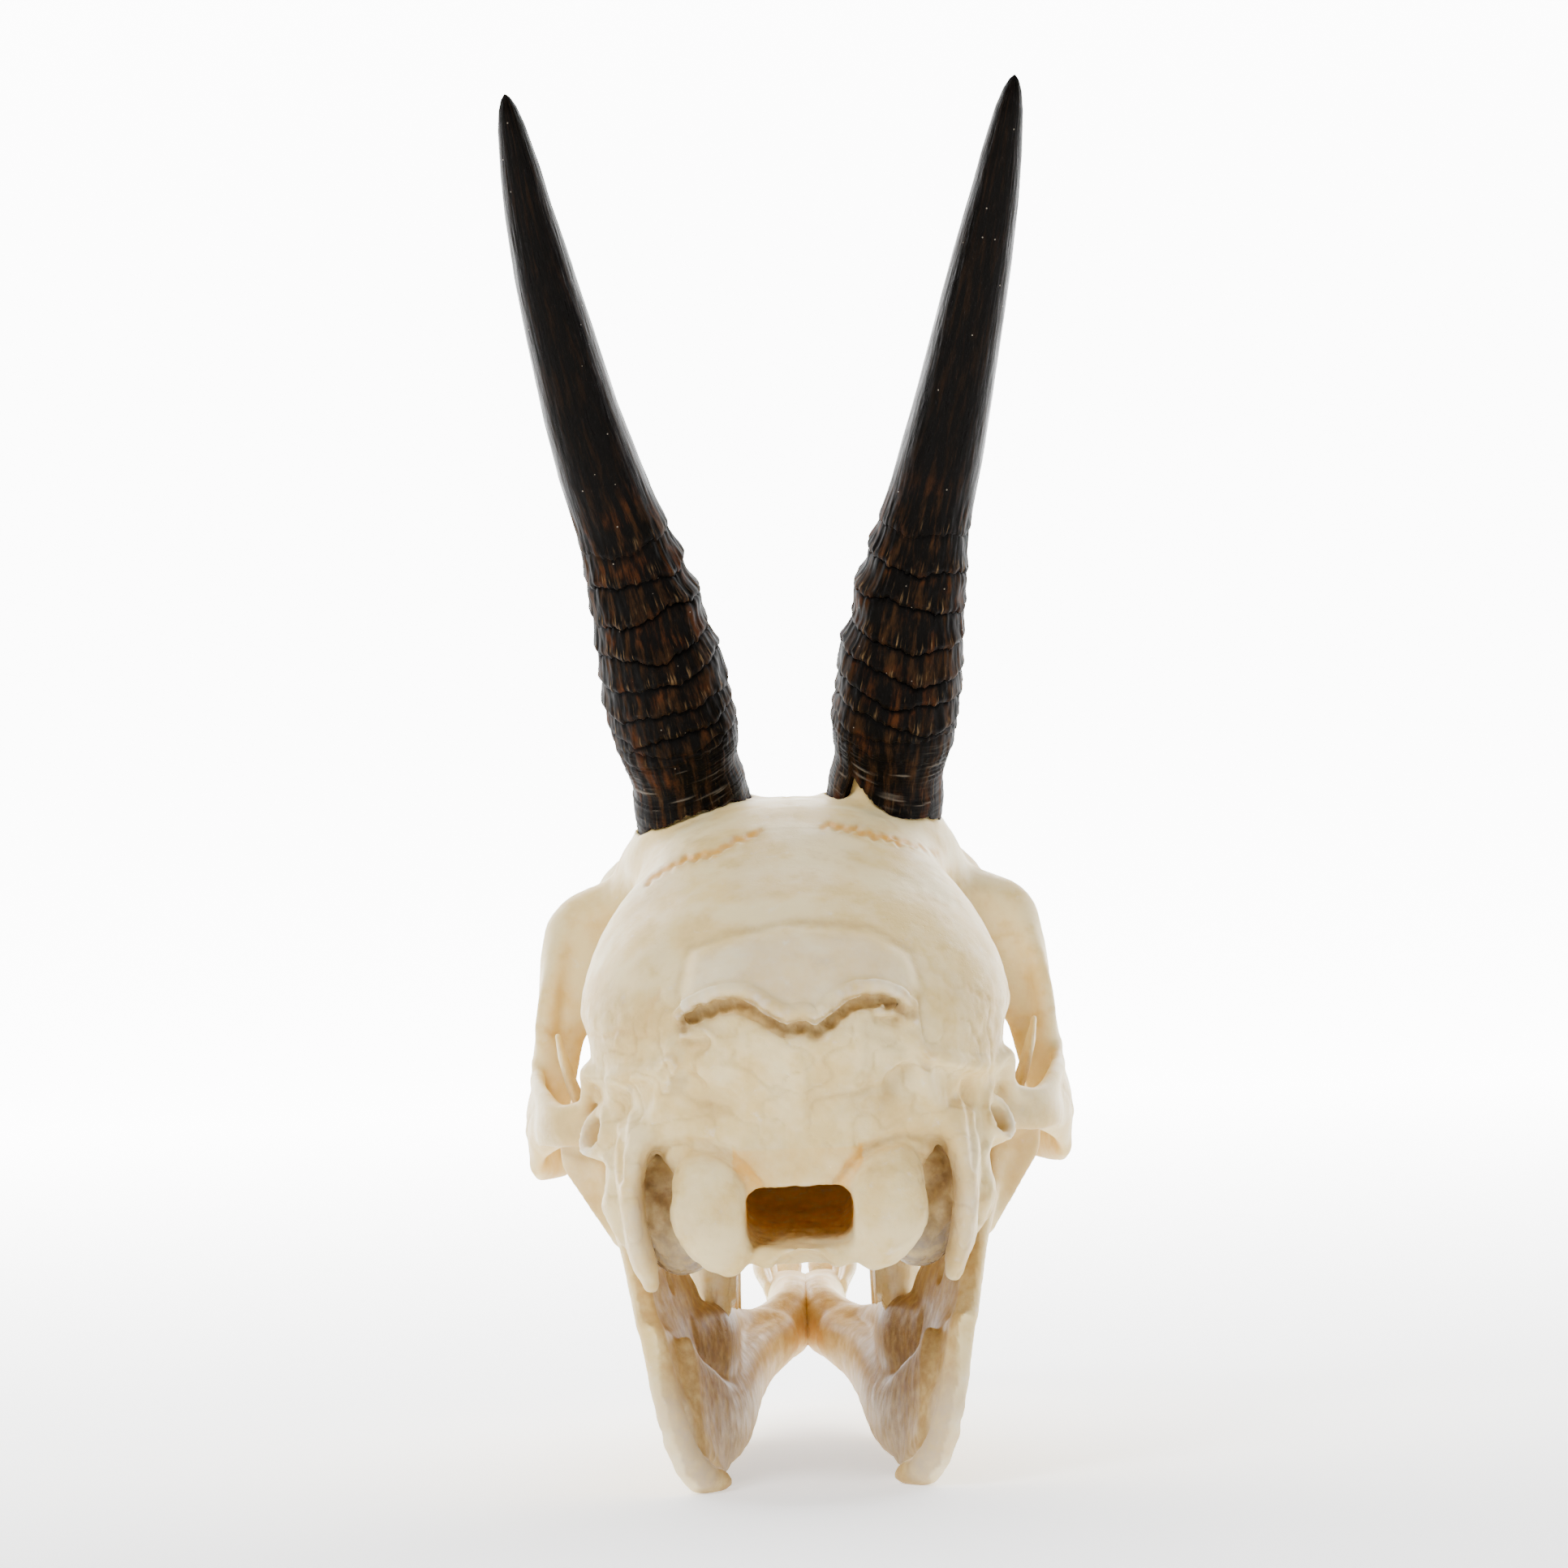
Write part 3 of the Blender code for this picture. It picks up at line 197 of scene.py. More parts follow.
class Clay:
    """Bone as a signed distance field on a grid, negative inside."""

    def __init__(self, low, high, step=STEP):
        self.low = np.array(low, float)
        self.step = step
        self.shape = np.ceil((np.array(high) - self.low) / step).astype(int) + 1
        self.field = np.full(self.shape, BAND, np.float32)

    def window(self, low, high):
        """The grid's first and last indices for a box, with the band round it."""
        first = np.floor((low - BAND - self.low) / self.step).astype(int)
        last = np.ceil((high + BAND - self.low) / self.step).astype(int) + 1
        first = np.clip(first, 0, self.shape - 1)
        return first, np.clip(last, first + 1, self.shape)

    def axes(self, first, last):
        return [
            (self.low[k] + self.step * np.arange(first[k], last[k])).astype(np.float32)
            for k in range(3)
        ]

    def solid(self, form):
        """The distance to a closed form, in its window."""
        points, triangles = form
        first, last = self.window(points.min(axis=0), points.max(axis=0))
        grid = vdb.FloatGrid.createLevelSetFromPolygons(
            (points - self.low).astype(np.float32),
            triangles=triangles.astype(np.uint32),
            transform=vdb.createLinearTransform(self.step),
            halfWidth=BAND / self.step,
        )
        found = np.empty(last - first, np.float32)
        grid.copyToArray(found, ijk=tuple(int(i) for i in first))
        return first, last, found

    def rod(self, path, steps=4):
        """The distance to a round rod through rows of x, y, z and radius, in its window."""
        rows = smooth_rows(path, steps)
        wide = rows[:, 3].max()
        first, last = self.window(rows[:, :3].min(axis=0) - wide, rows[:, :3].max(axis=0) + wide)
        found = np.full(last - first, BAND, np.float32)
        for start, end in zip(rows, rows[1:]):
            low = np.minimum(start, end)[:3] - wide
            high = np.maximum(start, end)[:3] + wide
            a, b = self.window(low, high)
            x, y, z = np.meshgrid(*self.axes(a, b), indexing="ij", sparse=True)
            way = end - start
            length = float(way[:3] @ way[:3]) + 1e-9
            t = ((x - start[0]) * way[0] + (y - start[1]) * way[1] + (z - start[2]) * way[2])
            t = np.clip(t / length, 0, 1)
            gap = np.sqrt(
                (x - start[0] - t * way[0]) ** 2
                + (y - start[1] - t * way[1]) ** 2
                + (z - start[2] - t * way[2]) ** 2
            ) - (start[3] + t * way[3])
            place = tuple(slice(i - f, j - f) for i, j, f in zip(a, b, first))
            found[place] = np.minimum(found[place], gap)
        return first, last, found

    def fill(self, form, blend=0.0):
        """Adds a closed form."""
        self.add(self.solid(form), blend)

    def carve(self, form, blend=0.0):
        """Cuts a closed form away."""
        self.cut(self.solid(form), blend)

    def strut(self, path, blend):
        """Adds a round rod."""
        self.add(self.rod(path), blend)

    def bore(self, path, blend):
        """Cuts a round rod away."""
        self.cut(self.rod(path), blend)

    def add(self, shape, blend=0.0):
        first, last, found = shape
        place = tuple(slice(a, b) for a, b in zip(first, last))
        self.field[place] = soft_min(self.field[place], found, blend)

    def cut(self, shape, blend=0.0):
        first, last, found = shape
        place = tuple(slice(a, b) for a, b in zip(first, last))
        self.field[place] = -soft_min(-self.field[place], found, blend)

    def land(self, path, view, sink=0.0):
        """Rows (x, y, z, radius) moved onto the clay as seen from a side, then sunk into it."""
        axis, way = VIEWS[view]
        rows = smooth_rows(path, 5)
        for row in rows:
            index = np.clip(np.rint((row[:3] - self.low) / self.step).astype(int), 0, self.shape - 1)
            place = [int(i) for i in index]
            place[axis] = slice(None)
            column = self.field[tuple(place)]
            inside = np.nonzero(column < 0)[0]
            if not len(inside):
                continue
            first = inside[-1] if way > 0 else inside[0]
            over = column[first + way] if 0 < first < len(column) - 1 else -column[first]
            part = column[first] / (column[first] - over)
            row[axis] = self.low[axis] + self.step * (first + way * part) - way * (sink + row[3])
        return rows

    def ridge(self, path, view, height, blend):
        """Adds a round ridge along a path seen from a side, standing out by that height."""
        self.add(self.rod(self.land(path, view, -height), steps=1), blend)

    def groove(self, path, view, depth, blend):
        """Cuts a round groove of that depth along a path seen from a side."""
        rows = self.land(path, view)
        axis, way = VIEWS[view]
        rows[:, axis] += way * (2 * rows[:, 3] - depth)
        self.cut(self.rod(rows, steps=1), blend)

    def slice_off(self, axis, at):
        """Cuts away what lies below a level of an axis."""
        coordinate = self.low[axis] + self.step * np.arange(self.shape[axis])
        gap = (at - coordinate).astype(np.float32)
        gap = gap.reshape([-1 if k == axis else 1 for k in range(3)])
        self.field = np.maximum(self.field, gap)

    def unfold(self):
        """Turns clay of the right half, from x = 0, into both halves."""
        self.field = np.concatenate([self.field[:0:-1], self.field])
        self.low[0] = -self.step * (self.shape[0] - 1)
        self.shape = np.array(self.field.shape)

    def skin(self):
        """The surface as points and quads."""
        grid = vdb.FloatGrid(BAND)
        grid.copyFromArray(self.field)
        grid.transform = vdb.createLinearTransform(self.step)
        points, quads = grid.convertToQuads()
        return Skin(points.astype(np.float64) + self.low, quads.astype(np.int64), self)

    def crowding(self, points, reach):
        """How much of a box round each point is bone: half on flat ground, more in a hollow."""
        cells = max(1, round(reach / self.step))
        solid = np.clip(0.5 - self.field / self.step, 0, 1)
        for axis in range(3):
            pads = [(cells + 1, cells) if k == axis else (0, 0) for k in range(3)]
            total = np.cumsum(np.pad(solid, pads, mode="edge"), axis=axis, dtype=np.float32)
            ahead = np.take(total, range(2 * cells + 1, total.shape[axis]), axis=axis)
            behind = np.take(total, range(0, total.shape[axis] - 2 * cells - 1), axis=axis)
            solid = (ahead - behind) / (2 * cells + 1)
        index = np.clip(np.rint((points - self.low) / self.step).astype(int), 0, self.shape - 1)
        return solid[tuple(index.T)]


# Skins: carving and painting


def ramp(value, low, high):
    """From 0 at low to 1 at high, smoothly."""
    t = np.clip((value - low) / (high - low), 0, 1)
    return t * t * (3 - 2 * t)


LATTICE = np.random.default_rng(7).uniform(-1, 1, (64, 64, 64))


def noise(points, size, seed):
    """Smooth noise from -1 to 1, with cells of that size."""
    scaled = points / size + 17.3 * seed
    cell = np.floor(scaled).astype(np.int64)
    part = scaled - cell
    part = part * part * (3 - 2 * part)
    total = np.zeros(len(points))
    for corner in np.ndindex(2, 2, 2):
        weight = np.prod(np.where(corner, part, 1 - part), axis=1)
        total += weight * LATTICE[tuple(((cell + corner) % 64).T)]
    return total


def rough(points, size, seed, octaves=3):
    """Noise with finer and fainter noise on it."""
    return sum(noise(points, size / 2**k, seed + k) / 2**k for k in range(octaves))


def line_distance(points, path, reach):
    """How far each point is from a line through the path, up to that reach."""
    path = np.array(path, float)
    found = np.full(len(points), reach)
    inside = np.all((points > path.min(axis=0) - reach) & (points < path.max(axis=0) + reach), axis=1)
    near = points[inside]
    best = np.full(len(near), reach)
    for start, end in zip(path, path[1:]):
        way = end - start
        t = np.clip((near - start) @ way / (way @ way + 1e-9), 0, 1)
        best = np.minimum(best, np.linalg.norm(near - start - t[:, None] * way, axis=1))
    found[inside] = best
    return found


def zigzag(path, pitch, swing, seed):
    """A line through a flat path that wanders to either side, as a suture does."""
    draw = np.random.default_rng(seed)
    rows = smooth_rows(path, 12)
    gone = np.concatenate([[0], np.cumsum(np.linalg.norm(np.diff(rows, axis=0), axis=1))])
    at = np.arange(0, gone[-1], pitch)
    line = np.stack([np.interp(at, gone, rows[:, k]) for k in range(2)], 1)
    way = np.gradient(line, axis=0)
    way /= np.linalg.norm(way, axis=1)[:, None]
    turned = np.stack([-way[:, 1], way[:, 0]], 1)
    side = np.where(np.arange(len(line)) % 2, 1, -1) * draw.uniform(0.2, 1.0, len(line)) * swing
    return line + turned * side[:, None]


class Skin:
    """The surface of some clay, with painted values at its points."""

    def __init__(self, points, quads, clay):
        self.points, self.quads, self.clay = points, quads, clay
        self.paint = {}
        self.refresh()

    def refresh(self):
        corners = self.points[self.quads]
        face = np.cross(corners[:, 2] - corners[:, 0], corners[:, 3] - corners[:, 1])
        total = self.gather(np.repeat(face[:, None], 4, axis=1))
        self.normals = total / (np.linalg.norm(total, axis=1)[:, None] + 1e-12)

    def gather(self, values):
        """The sum at each point of what its faces' corners hold."""
        flat = self.quads.reshape(-1)
        return np.stack([
            np.bincount(flat, weights=values[..., k].reshape(-1), minlength=len(self.points))
            for k in range(values.shape[-1])
        ], axis=1)

    def averaged(self, values, rounds):
        """The values, evened out with their neighbours' that many times."""
        count = self.gather(np.ones((*self.quads.shape, 1))) * 2
        for _ in range(rounds):
            corners = values[self.quads]
            around = np.roll(corners, 1, axis=1) + np.roll(corners, -1, axis=1)
            values = 0.5 * values + 0.5 * self.gather(around) / count
        return values

    def smooth(self, rounds):
        self.points = self.averaged(self.points, rounds)
        self.refresh()

    def push(self, amount):
        """Moves each point out along its normal."""
        self.points = self.points + self.normals * amount[:, None]
        self.refresh()

    def relief(self, size):
        """How far each point stands out of its surroundings, in millimetres."""
        rounds = max(2, round((size / self.clay.step) ** 2))
        return ((self.points - self.averaged(self.points, rounds)) * self.normals).sum(axis=1)

    def mark(self, name, amount):
        """Adds to a painted value."""
        self.paint[name] = self.paint.get(name, np.zeros(len(self.points))) + amount

    def seen(self, view, reach):
        """The skin's flat coordinates from a side, and how much of it faces that way within a depth."""
        axis, way = VIEWS[view]
        flat = np.delete(self.points, axis, axis=1)
        depth = self.points[:, axis]
        facing = ramp(way * self.normals[:, axis], 0.1, 0.35)
        return flat, facing * (depth > reach[0]) * (depth < reach[1])

    def band(self, view, path, width, reach=(-999, 999)):
        """How near each point is to a line seen from a side: 1 on it, falling off over the width."""
        flat, facing = self.seen(view, reach)
        return np.exp(-((line_distance(flat, path, 4 * width) / width) ** 2)) * facing

    def spot(self, centre, radii):
        """How near each point is to a centre, in all directions."""
        return np.exp(-((((self.points - centre) / radii) ** 2).sum(axis=1)))

    def suture(self, view, path, reach, seed, swing, depth=0.3, stain=0.5):
        """A fine jagged seam between two bones, with some stain in it."""
        line = zigzag(path, 1.0, swing, seed)
        fade = 0.65 + 0.35 * noise(self.points, 3.0, seed)
        self.push(-depth * self.band(view, line, 0.36, reach) * fade)
        self.mark("stain", stain * self.band(view, line, 0.40, reach) * fade)
        self.mark("tan", 0.35 * stain * self.band(view, line, 1.0, reach) * fade)

    def pit(self, view, place, radius, depth, reach=(-999, 999)):
        """A small hole, with painted shade in brown on its floor."""
        flat, facing = self.seen(view, reach)
        gone = np.linalg.norm(flat - place, axis=1) / radius
        self.push(-depth * ramp(gone, 1.25, 0.6) * facing)
        # painted shade: brown on the pit's floor
        self.mark("brown", 0.8 * ramp(gone, 1.0, 0.5) * facing)

    def object(self, name, look):
        return mesh_object(name, self.points, self.quads, look, self.paint)


def placed(name, data):
    """An object with that mesh, camera or lamp, in the scene."""
    made = bpy.data.objects.new(name, data)
    bpy.context.scene.collection.objects.link(made)
    return made


def mesh_object(name, points, faces, look, paint):
    """An object from points in millimetres, with its painted values as attributes."""
    mesh = bpy.data.meshes.new(name)
    mesh.from_pydata(((points - ORIGIN) * MM).tolist(), [], faces.tolist())
    for title, values in paint.items():
        if values.ndim == 2:
            layer = mesh.attributes.new(title, "FLOAT_VECTOR", "POINT")
            layer.data.foreach_set("vector", values.astype(np.float32).reshape(-1))
        else:
            layer = mesh.attributes.new(title, "FLOAT", "POINT")
            layer.data.foreach_set("value", np.clip(values, 0, 1).astype(np.float32))
    mesh.materials.append(look)
    mesh.shade_smooth()
    return placed(name, mesh)


# Cranium


def cranium_masses(clay):
    """The braincase, forehead and face of the right half, as rounded forms."""
    wide = BRAINCASE_HALF_WIDTH
    braincase = loft([
        (0, 6.0, 59.5, 0.56 * wide, 12.0), (0, 10.0, 62.0, 0.76 * wide, 16.0),
        (0, 15.5, 64.5, 0.90 * wide, 19.5), (0, 22.5, 67.0, 0.98 * wide, 22.8),
        (0, 31.0, 69.0, wide, 25.2), (0, 40.0, 71.5, 0.955 * wide, 27.0),
        (0, 49.0, 74.0, 0.86 * wide, 27.2), (0, 58.0, 75.5, 0.76 * wide, CROWN_HEIGHT - 75.5),
        (0, 67.0, 76.0, 0.66 * wide, 24.5),
    ], power=2.25, sides=72, cap=0.28)
    forehead = loft([
        (0, 46, 92.0, 19, 7.0), (0, 54, 93.0, 24, 7.5), (0, 62, 93.0, 26, 8.0), (0, 70, 90.8, 26, 8.0),
        (0, 78, 87.6, 25, 8.0), (0, 86, 83.8, 23, 8.0), (0, 94, 79.5, 21, 8.0),
    ], power=2.4, sides=60)
    rostrum = loft([
        (0, 72, 71.0, 21.0, 25.0), (0, 82, 68.3, 22.0, 24.6), (0, 92, 64.8, 22.0, 23.0),
        (0, 102, 61.2, 20.0, 20.6), (0, 112, 57.6, 17.4, 18.0), (0, 122, 53.6, 14.8, 15.8),
        (0, 131, 50.2, 12.4, 13.6), (0, 138, 47.4, 11.0, 11.6),
    ], power=2.5, sides=60, cap=0.3)
    cheek = loft([
        (17.0, 61, 45.0, 5.2, 5.5), (18.6, 71, 45.6, 6.2, 7.2), (19.0, 84, 44.8, 6.8, 8.6),
        (17.8, 97, 42.6, 6.4, 8.6), (15.6, 108, 40.2, 5.8, 7.2), (12.8, 120, 38.0, 4.8, 5.4),
        (10.6, 132, 36.6, 3.6, 3.8), (9.4, 140, 36.2, 2.8, 3.0),
    ])
    face_side = loft([
        (27.0, 88, 66.0, 4.5, 16.5), (23.0, 95, 62.5, 5.0, 17.0), (18.5, 104, 58.5, 5.0, 15.0),
        (14.5, 114, 54.0, 4.5, 12.0),
    ])
    brow_front = loft([
        (20.0, 80, 88.5, 9.0, 5.0), (23.5, 88, 83.5, 7.0, 6.0), (24.5, 94, 77.0, 5.0, 7.5),
        (22.5, 100, 70.0, 4.5, 8.0),
    ])
    brow = loft([
        (19, 71, 88.5, 13.0, 6.0), (26, 72, 86.8, 12.5, 3.8), (31, 73, 85.4, 12.0, 2.8),
        (35.6, 73.5, 83.8, 11.0, 2.0),
    ], side=AXIS_Y)
    palate_roof = loft([
        (0, 66, 45.5, 11.0, 2.6), (0, 84, 44.0, 13.0, 3.4), (0, 104, 41.0, 13.0, 3.6),
        (0, 124, 38.2, 10.0, 3.2), (0, 138, 36.6, 7.5, 2.4),
    ])
    floor = ellipsoid((0, 22, 43.6), (11.5, 17.0, 4.8))
    base_beam = loft([
        (0, 4.6, 35.6, 8.4, 2.4), (0, 11, 37.0, 8.4, 3.0), (0, 21, 39.6, 7.2, 3.4),
        (0, 33, 42.0, 6.0, 3.8), (0, 46, 44.6, 5.0, 4.2), (0, 60, 47.5, 4.5, 5.0),
        (0, 74, 50.5, 4.5, 6.0),
    ])
    for form, blend in (
        (braincase, 0), (forehead, 6), (rostrum, 5), (palate_roof, 3), (floor, 2), (base_beam, 2),
        (cheek, 4), (face_side, 4), (brow, 5), (brow_front, 5),
    ):
        clay.fill(form, blend)


def cranium_hollows(clay):
    """The orbit, the temporal hollow, the nose and the palate."""
    orbit = ellipsoid((36.0, 72.5, 69.5), (18.5, ORBIT_RADIUS, ORBIT_RADIUS), turn=(0, 8, -14))
    temporal = loft([(36.5, 50, 66, 6.0, 13.0), (34.5, 58, 66, 8.0, 12.0), (33.0, 66, 64, 9.0, 11.0)])
    tear_pit = ellipsoid((32.0, 105.5, 63.0), (8.6, 13.0, 8.8), turn=(0, 14, -25))
    under_orbit = loft([(27.0, 48, 50, 7.0, 9.0), (27.0, 60, 51, 6.5, 8.0), (26.5, 70, 56, 6.0, 7.0)])
    choana = loft([(0, 50, 40.5, 6.4, 4.2), (0, 60, 43.6, 7.4, 4.5), (0, 72, 46.5, 8.0, 4.5)])
    nose = loft([
        (0, 98, 62.0, 9.0, 11.0), (0, 112, 57.5, 9.0, 11.0), (0, 124, 53.2, 8.6, 10.6),
        (0, 136, 48.6, 8.2, 10.0), (0, 150, 43.5, 9.0, 12.0), (0, 172, 38.0, 11.0, 14.0),
    ], power=2.3)
    palate_vault = loft([
        (0, 56, 38.5, 9.5, 3.5), (0, 80, 36.5, 11.5, 4.5), (0, 100, 34.6, 10.5, 3.8),
        (0, 120, 33.2, 7.5, 2.4), (0, 150, 31.0, 5.0, 1.4),
    ])
    temporal_gutter = loft([
        (33.6, 20, 66.4, 2.2, 3.8), (33.1, 30, 64.4, 2.7, 5.2), (33.1, 42, 64.0, 3.1, 6.2),
        (33.6, 56, 64.0, 3.3, 5.0),
    ])
    for form, blend in (
        (temporal_gutter, 2.5), (orbit, 2), (temporal, 3), (tear_pit, 2.5), (under_orbit, 2.5),
        (choana, 1.5), (nose, 0.8), (palate_vault, 1.5),
    ):
        clay.carve(form, blend)


def turned_to(side, form):
    """A form of the right side, moved to its side of the leaning midline of the occiput."""
    points, triangles = form if side > 0 else mirrored(form)
    return points + (OCCIPUT_SHIFT, 0, 0), triangles


def rear_path(side, rows):
    """Rows (x, z, radius) of the right side as a path to be landed from the rear."""
    return [(side * x + OCCIPUT_SHIFT, 0, z, radius) for x, z, radius in rows]


def occiput_side(clay, side):
    """The condyle and the processes beside it."""
    condyle = loft([
        (14.3, 7.2, 50.6, 2.6, 2.6), (14.0, 6.4, 48.6, 4.3, 3.9), (13.1, 5.3, 45.0, 5.7, 5.0),
        (12.5, 5.0, 41.0, 6.2, 4.9), (11.3, 5.2, 37.6, 4.7, 4.2), (9.4, 5.8, 35.3, 3.0, 3.0),
    ], power=2.3, cap=0.5)
    paroccipital = loft([
        (23.0, 12.4, 54.0, 3.6, 4.6), (24.6, 11.6, 49.0, 2.3, 4.2), (24.6, 11.4, 43.0, 1.8, 3.9),
        (23.9, 11.4, 38.0, 1.9, 3.2), (23.0, 11.4, 34.6, 1.8, 2.4), (22.3, 11.2, 31.8, 1.3, 1.5),
    ], power=2.4)
    mastoid = loft([
        (22.6, 17.4, 62.0, 4.2, 4.4), (24.6, 17.4, 57.0, 3.8, 4.2), (26.0, 17.2, 51.0, 2.4, 3.6),
        (26.9, 16.4, 46.4, 1.5, 2.6),
    ])
    lobe = loft([
        (26.8, 15.8, 47.4, 1.2, 2.2), (27.0, 15.4, 43.4, 2.2, 3.0), (26.0, 15.2, 39.4, 1.5, 2.2),
        (24.8, 15.0, 36.8, 0.8, 1.2),
    ])
    ear_tube = loft([
        (22.0, 22.0, 50.4, 4.2, 4.4), (27.0, 19.8, 52.8, 3.6, 3.8), (30.6, 17.8, 54.3, 3.2, 3.6),
    ], side=AXIS_Y, cap=0.0)
    bulla = ellipsoid((16.8, 24.0, 40.6), (6.4, 10.5, 8.6), turn=(8, -12, 0))
    tympanic = ellipsoid((21.4, 20.4, 43.6), (3.2, 7.6, 6.6), turn=(0, 8, 0))
    pocket_floor = ellipsoid((18.8, 20.0, 47.6), (5.4, 7.6, 5.0))
    for form, blend in (
        (mastoid, 2.0), (paroccipital, 1.2), (ear_tube, 0.8), (lobe, 0.8), (pocket_floor, 1.0),
        (tympanic, 1.0), (bulla, 0.4),
    ):
        clay.fill(turned_to(side, form), blend)
    recess = ellipsoid((20.7, 6.8, 44.7), (2.4, 6.4, 3.1), turn=(0, 12, 0))
    under_recess = ellipsoid((20.4, 6.5, 39.4), (1.9, 4.5, 5.6), turn=(0, 14, 0))
    clay.carve(turned_to(side, recess), 0.6)
    clay.carve(turned_to(side, under_recess), 0.6)
    clay.fill(turned_to(side, condyle), 0.5)
    lateral_ridge = [
        (17.6, 66.6, 0.8), (18.4, 63.5, 0.9), (19.2, 60.0, 1.0), (20.2, 57.0, 1.1), (21.9, 54.4, 1.2),
        (23.4, 52.0, 1.2), (24.4, 49.3, 1.1), (24.9, 46.3, 1.0), (25.0, 43.0, 0.9), (24.7, 40.2, 0.8),
        (23.9, 36.8, 0.7), (22.7, 33.0, 0.6),
    ]
    mastoid_ridge = [
        (29.0, 58.9, 0.7), (28.2, 56.2, 0.6), (28.4, 53.7, 0.7), (28.3, 50.6, 0.6), (27.2, 48.8, 0.6),
    ]
    channel = [(24.9, 59.5, 0.8), (25.8, 56.0, 0.9), (26.2, 52.0, 0.9), (26.2, 48.0, 0.8)]
    pit = [(18.6, 63.8, 0.9), (19.4, 62.8, 0.6)]
    arch_groove = [
        (5.8, 46.3, 0.6), (8.2, 48.9, 0.7), (10.6, 50.8, 0.8), (13.6, 52.1, 0.8), (16.2, 52.5, 0.8),
        (18.8, 52.0, 0.8), (21.3, 50.4, 0.8),
    ]
    for work, rows, size, blend in (
        (clay.ridge, lateral_ridge, 1.0, 1.8), (clay.ridge, mastoid_ridge, 0.8, 0.9),
        (clay.groove, channel, 0.6, 1.0), (clay.groove, pit, 1.2, 0.6),
        (clay.groove, arch_groove, 0.9, 0.9),
    ):
        work(rear_path(side, rows), "rear", size, blend)
    for spot, radii in (((15.4, 3.4, 60.6), (2.6, 1.0, 3.0)), ((10.9, 2.4, 57.6), (2.6, 0.8, 2.4))):
        clay.carve(turned_to(side, ellipsoid(spot, radii)), 1.6)
    ear_hole = [(25.0, 21.0, 51.6, 0.9), (28.0, 19.2, 53.1, 1.8), (33.5, 15.4, 55.6, 3.0)]
    path = [(side * x + OCCIPUT_SHIFT, y, z, r) for x, y, z, r in ear_hole]
    clay.bore(path, 0.3)


CREST = [  # x and z of the nuchal crest, from left to right
    (-16.6, 71.4), (-14.6, 73.0), (-10.6, 74.3), (-7.2, 74.1), (-4.3, 72.2), (-1.2, 70.6), (1.2, 71.0),
    (3.0, 70.2), (5.3, 72.0), (8.8, 74.1), (13.6, 73.8), (16.8, 71.6),
]


def occiput(clay):
    """The back of the skull: plate, crests, condyles and the processes beside them."""
    plate = ellipsoid((OCCIPUT_SHIFT, 10.5, 57.5), (23.0, 7.8, 15.5))
    base = ellipsoid((OCCIPUT_SHIFT, 12.5, 46.5), (17.0, 9.2, 11.0))
    bump = loft([
        (0.6, 4.4, 71.6, 14.6, 3.4), (0.6, 8.0, 75.8, 16.4, 4.6), (0.8, 14.6, 80.2, 15.4, 4.2),
        (0.8, 22.0, 84.2, 12.0, 3.2),
    ], power=3.0, sides=60)
    for form, blend in ((plate, 3), (base, 3), (bump, 2)):
        clay.fill(form, blend)
    for side in (1, -1):
        occiput_side(clay, side)
    nuchal_crest = [(x, 0, z, 1.15) for x, z in CREST]
    overhang = [(x, 0, z - 1.9, 0.9) for x, z in CREST[1:-1]]
    clay.ridge(nuchal_crest, "rear", 1.5, 1.2)
    clay.groove(overhang, "rear", 1.3, 0.7)
    for ledge, shade in (
        ([(-16.4, 0, 68.8, 0.7), (-13.6, 0, 69.0, 0.8), (-11.8, 0, 68.0, 0.5)],
         [(-15.9, 0, 67.4, 0.7), (-13.2, 0, 67.6, 0.7)]),
        ([(11.4, 0, 71.4, 0.5), (14.4, 0, 71.0, 0.8), (17.4, 0, 69.2, 0.6)],
         [(11.8, 0, 69.8, 0.6), (14.6, 0, 69.4, 0.7)]),
    ):
        clay.ridge(ledge, "rear", 0.9, 0.9)
        clay.groove(shade, "rear", 0.9, 0.7)
    clay.ridge([(0.0, 0, 66.0, 0.7), (0.4, 0, 61.0, 0.6), (0.2, 0, 56.5, 0.5)], "rear", 0.5, 1.6)
    clay.ridge([(9.6, 0, 69.0, 0.6), (9.2, 0, 64.0, 0.5), (8.6, 0, 60.5, 0.4)], "rear", 0.4, 1.2)


def temporal_root(clay):
    """The crest over the ear and the rear root of the right cheek arch."""
    crest = [
        (18.6, 0, 64.4, 0.8), (21.6, 0, 63.6, 1.0), (24.6, 0, 62.6, 1.1), (27.4, 0, 62.0, 1.2),
    ]
    rim = [
        (26.4, 14.4, 62.2, 1.2), (29.0, 17.8, 62.4, 1.3), (30.9, 20.6, 62.8, 1.5),
        (31.2, 22.4, 60.0, 1.2), (32.2, 24.2, 57.6, 1.1), (34.4, 26.4, 56.6, 1.1),
        (36.3, 29.4, 57.0, 1.1), (37.9, 33.6, 58.4, 1.1), (39.1, 39.0, 59.8, 1.1),
        (39.8, 46.0, 60.6, 1.0), (40.0, 52.0, 61.2, 0.9), (39.8, 55.5, 63.0, 0.8),
    ]
    plate = loft([
        (29.0, 24.4, 55.6, 1.0, 3.2), (32.6, 25.0, 54.9, 1.0, 3.2), (35.8, 27.2, 54.5, 1.0, 3.1),
        (38.0, 31.2, 54.8, 1.0, 3.3), (38.9, 37.0, 55.3, 1.0, 4.0), (39.7, 43.0, 55.8, 1.1, 4.6),
        (39.9, 52.0, 56.4, 1.1, 5.2),
    ], side=(-1, 1, 0))
    clay.fill(plate, 1.5)
    clay.ridge(crest, "rear", 1.5, 1.2)
    clay.strut(rim, 1.2)


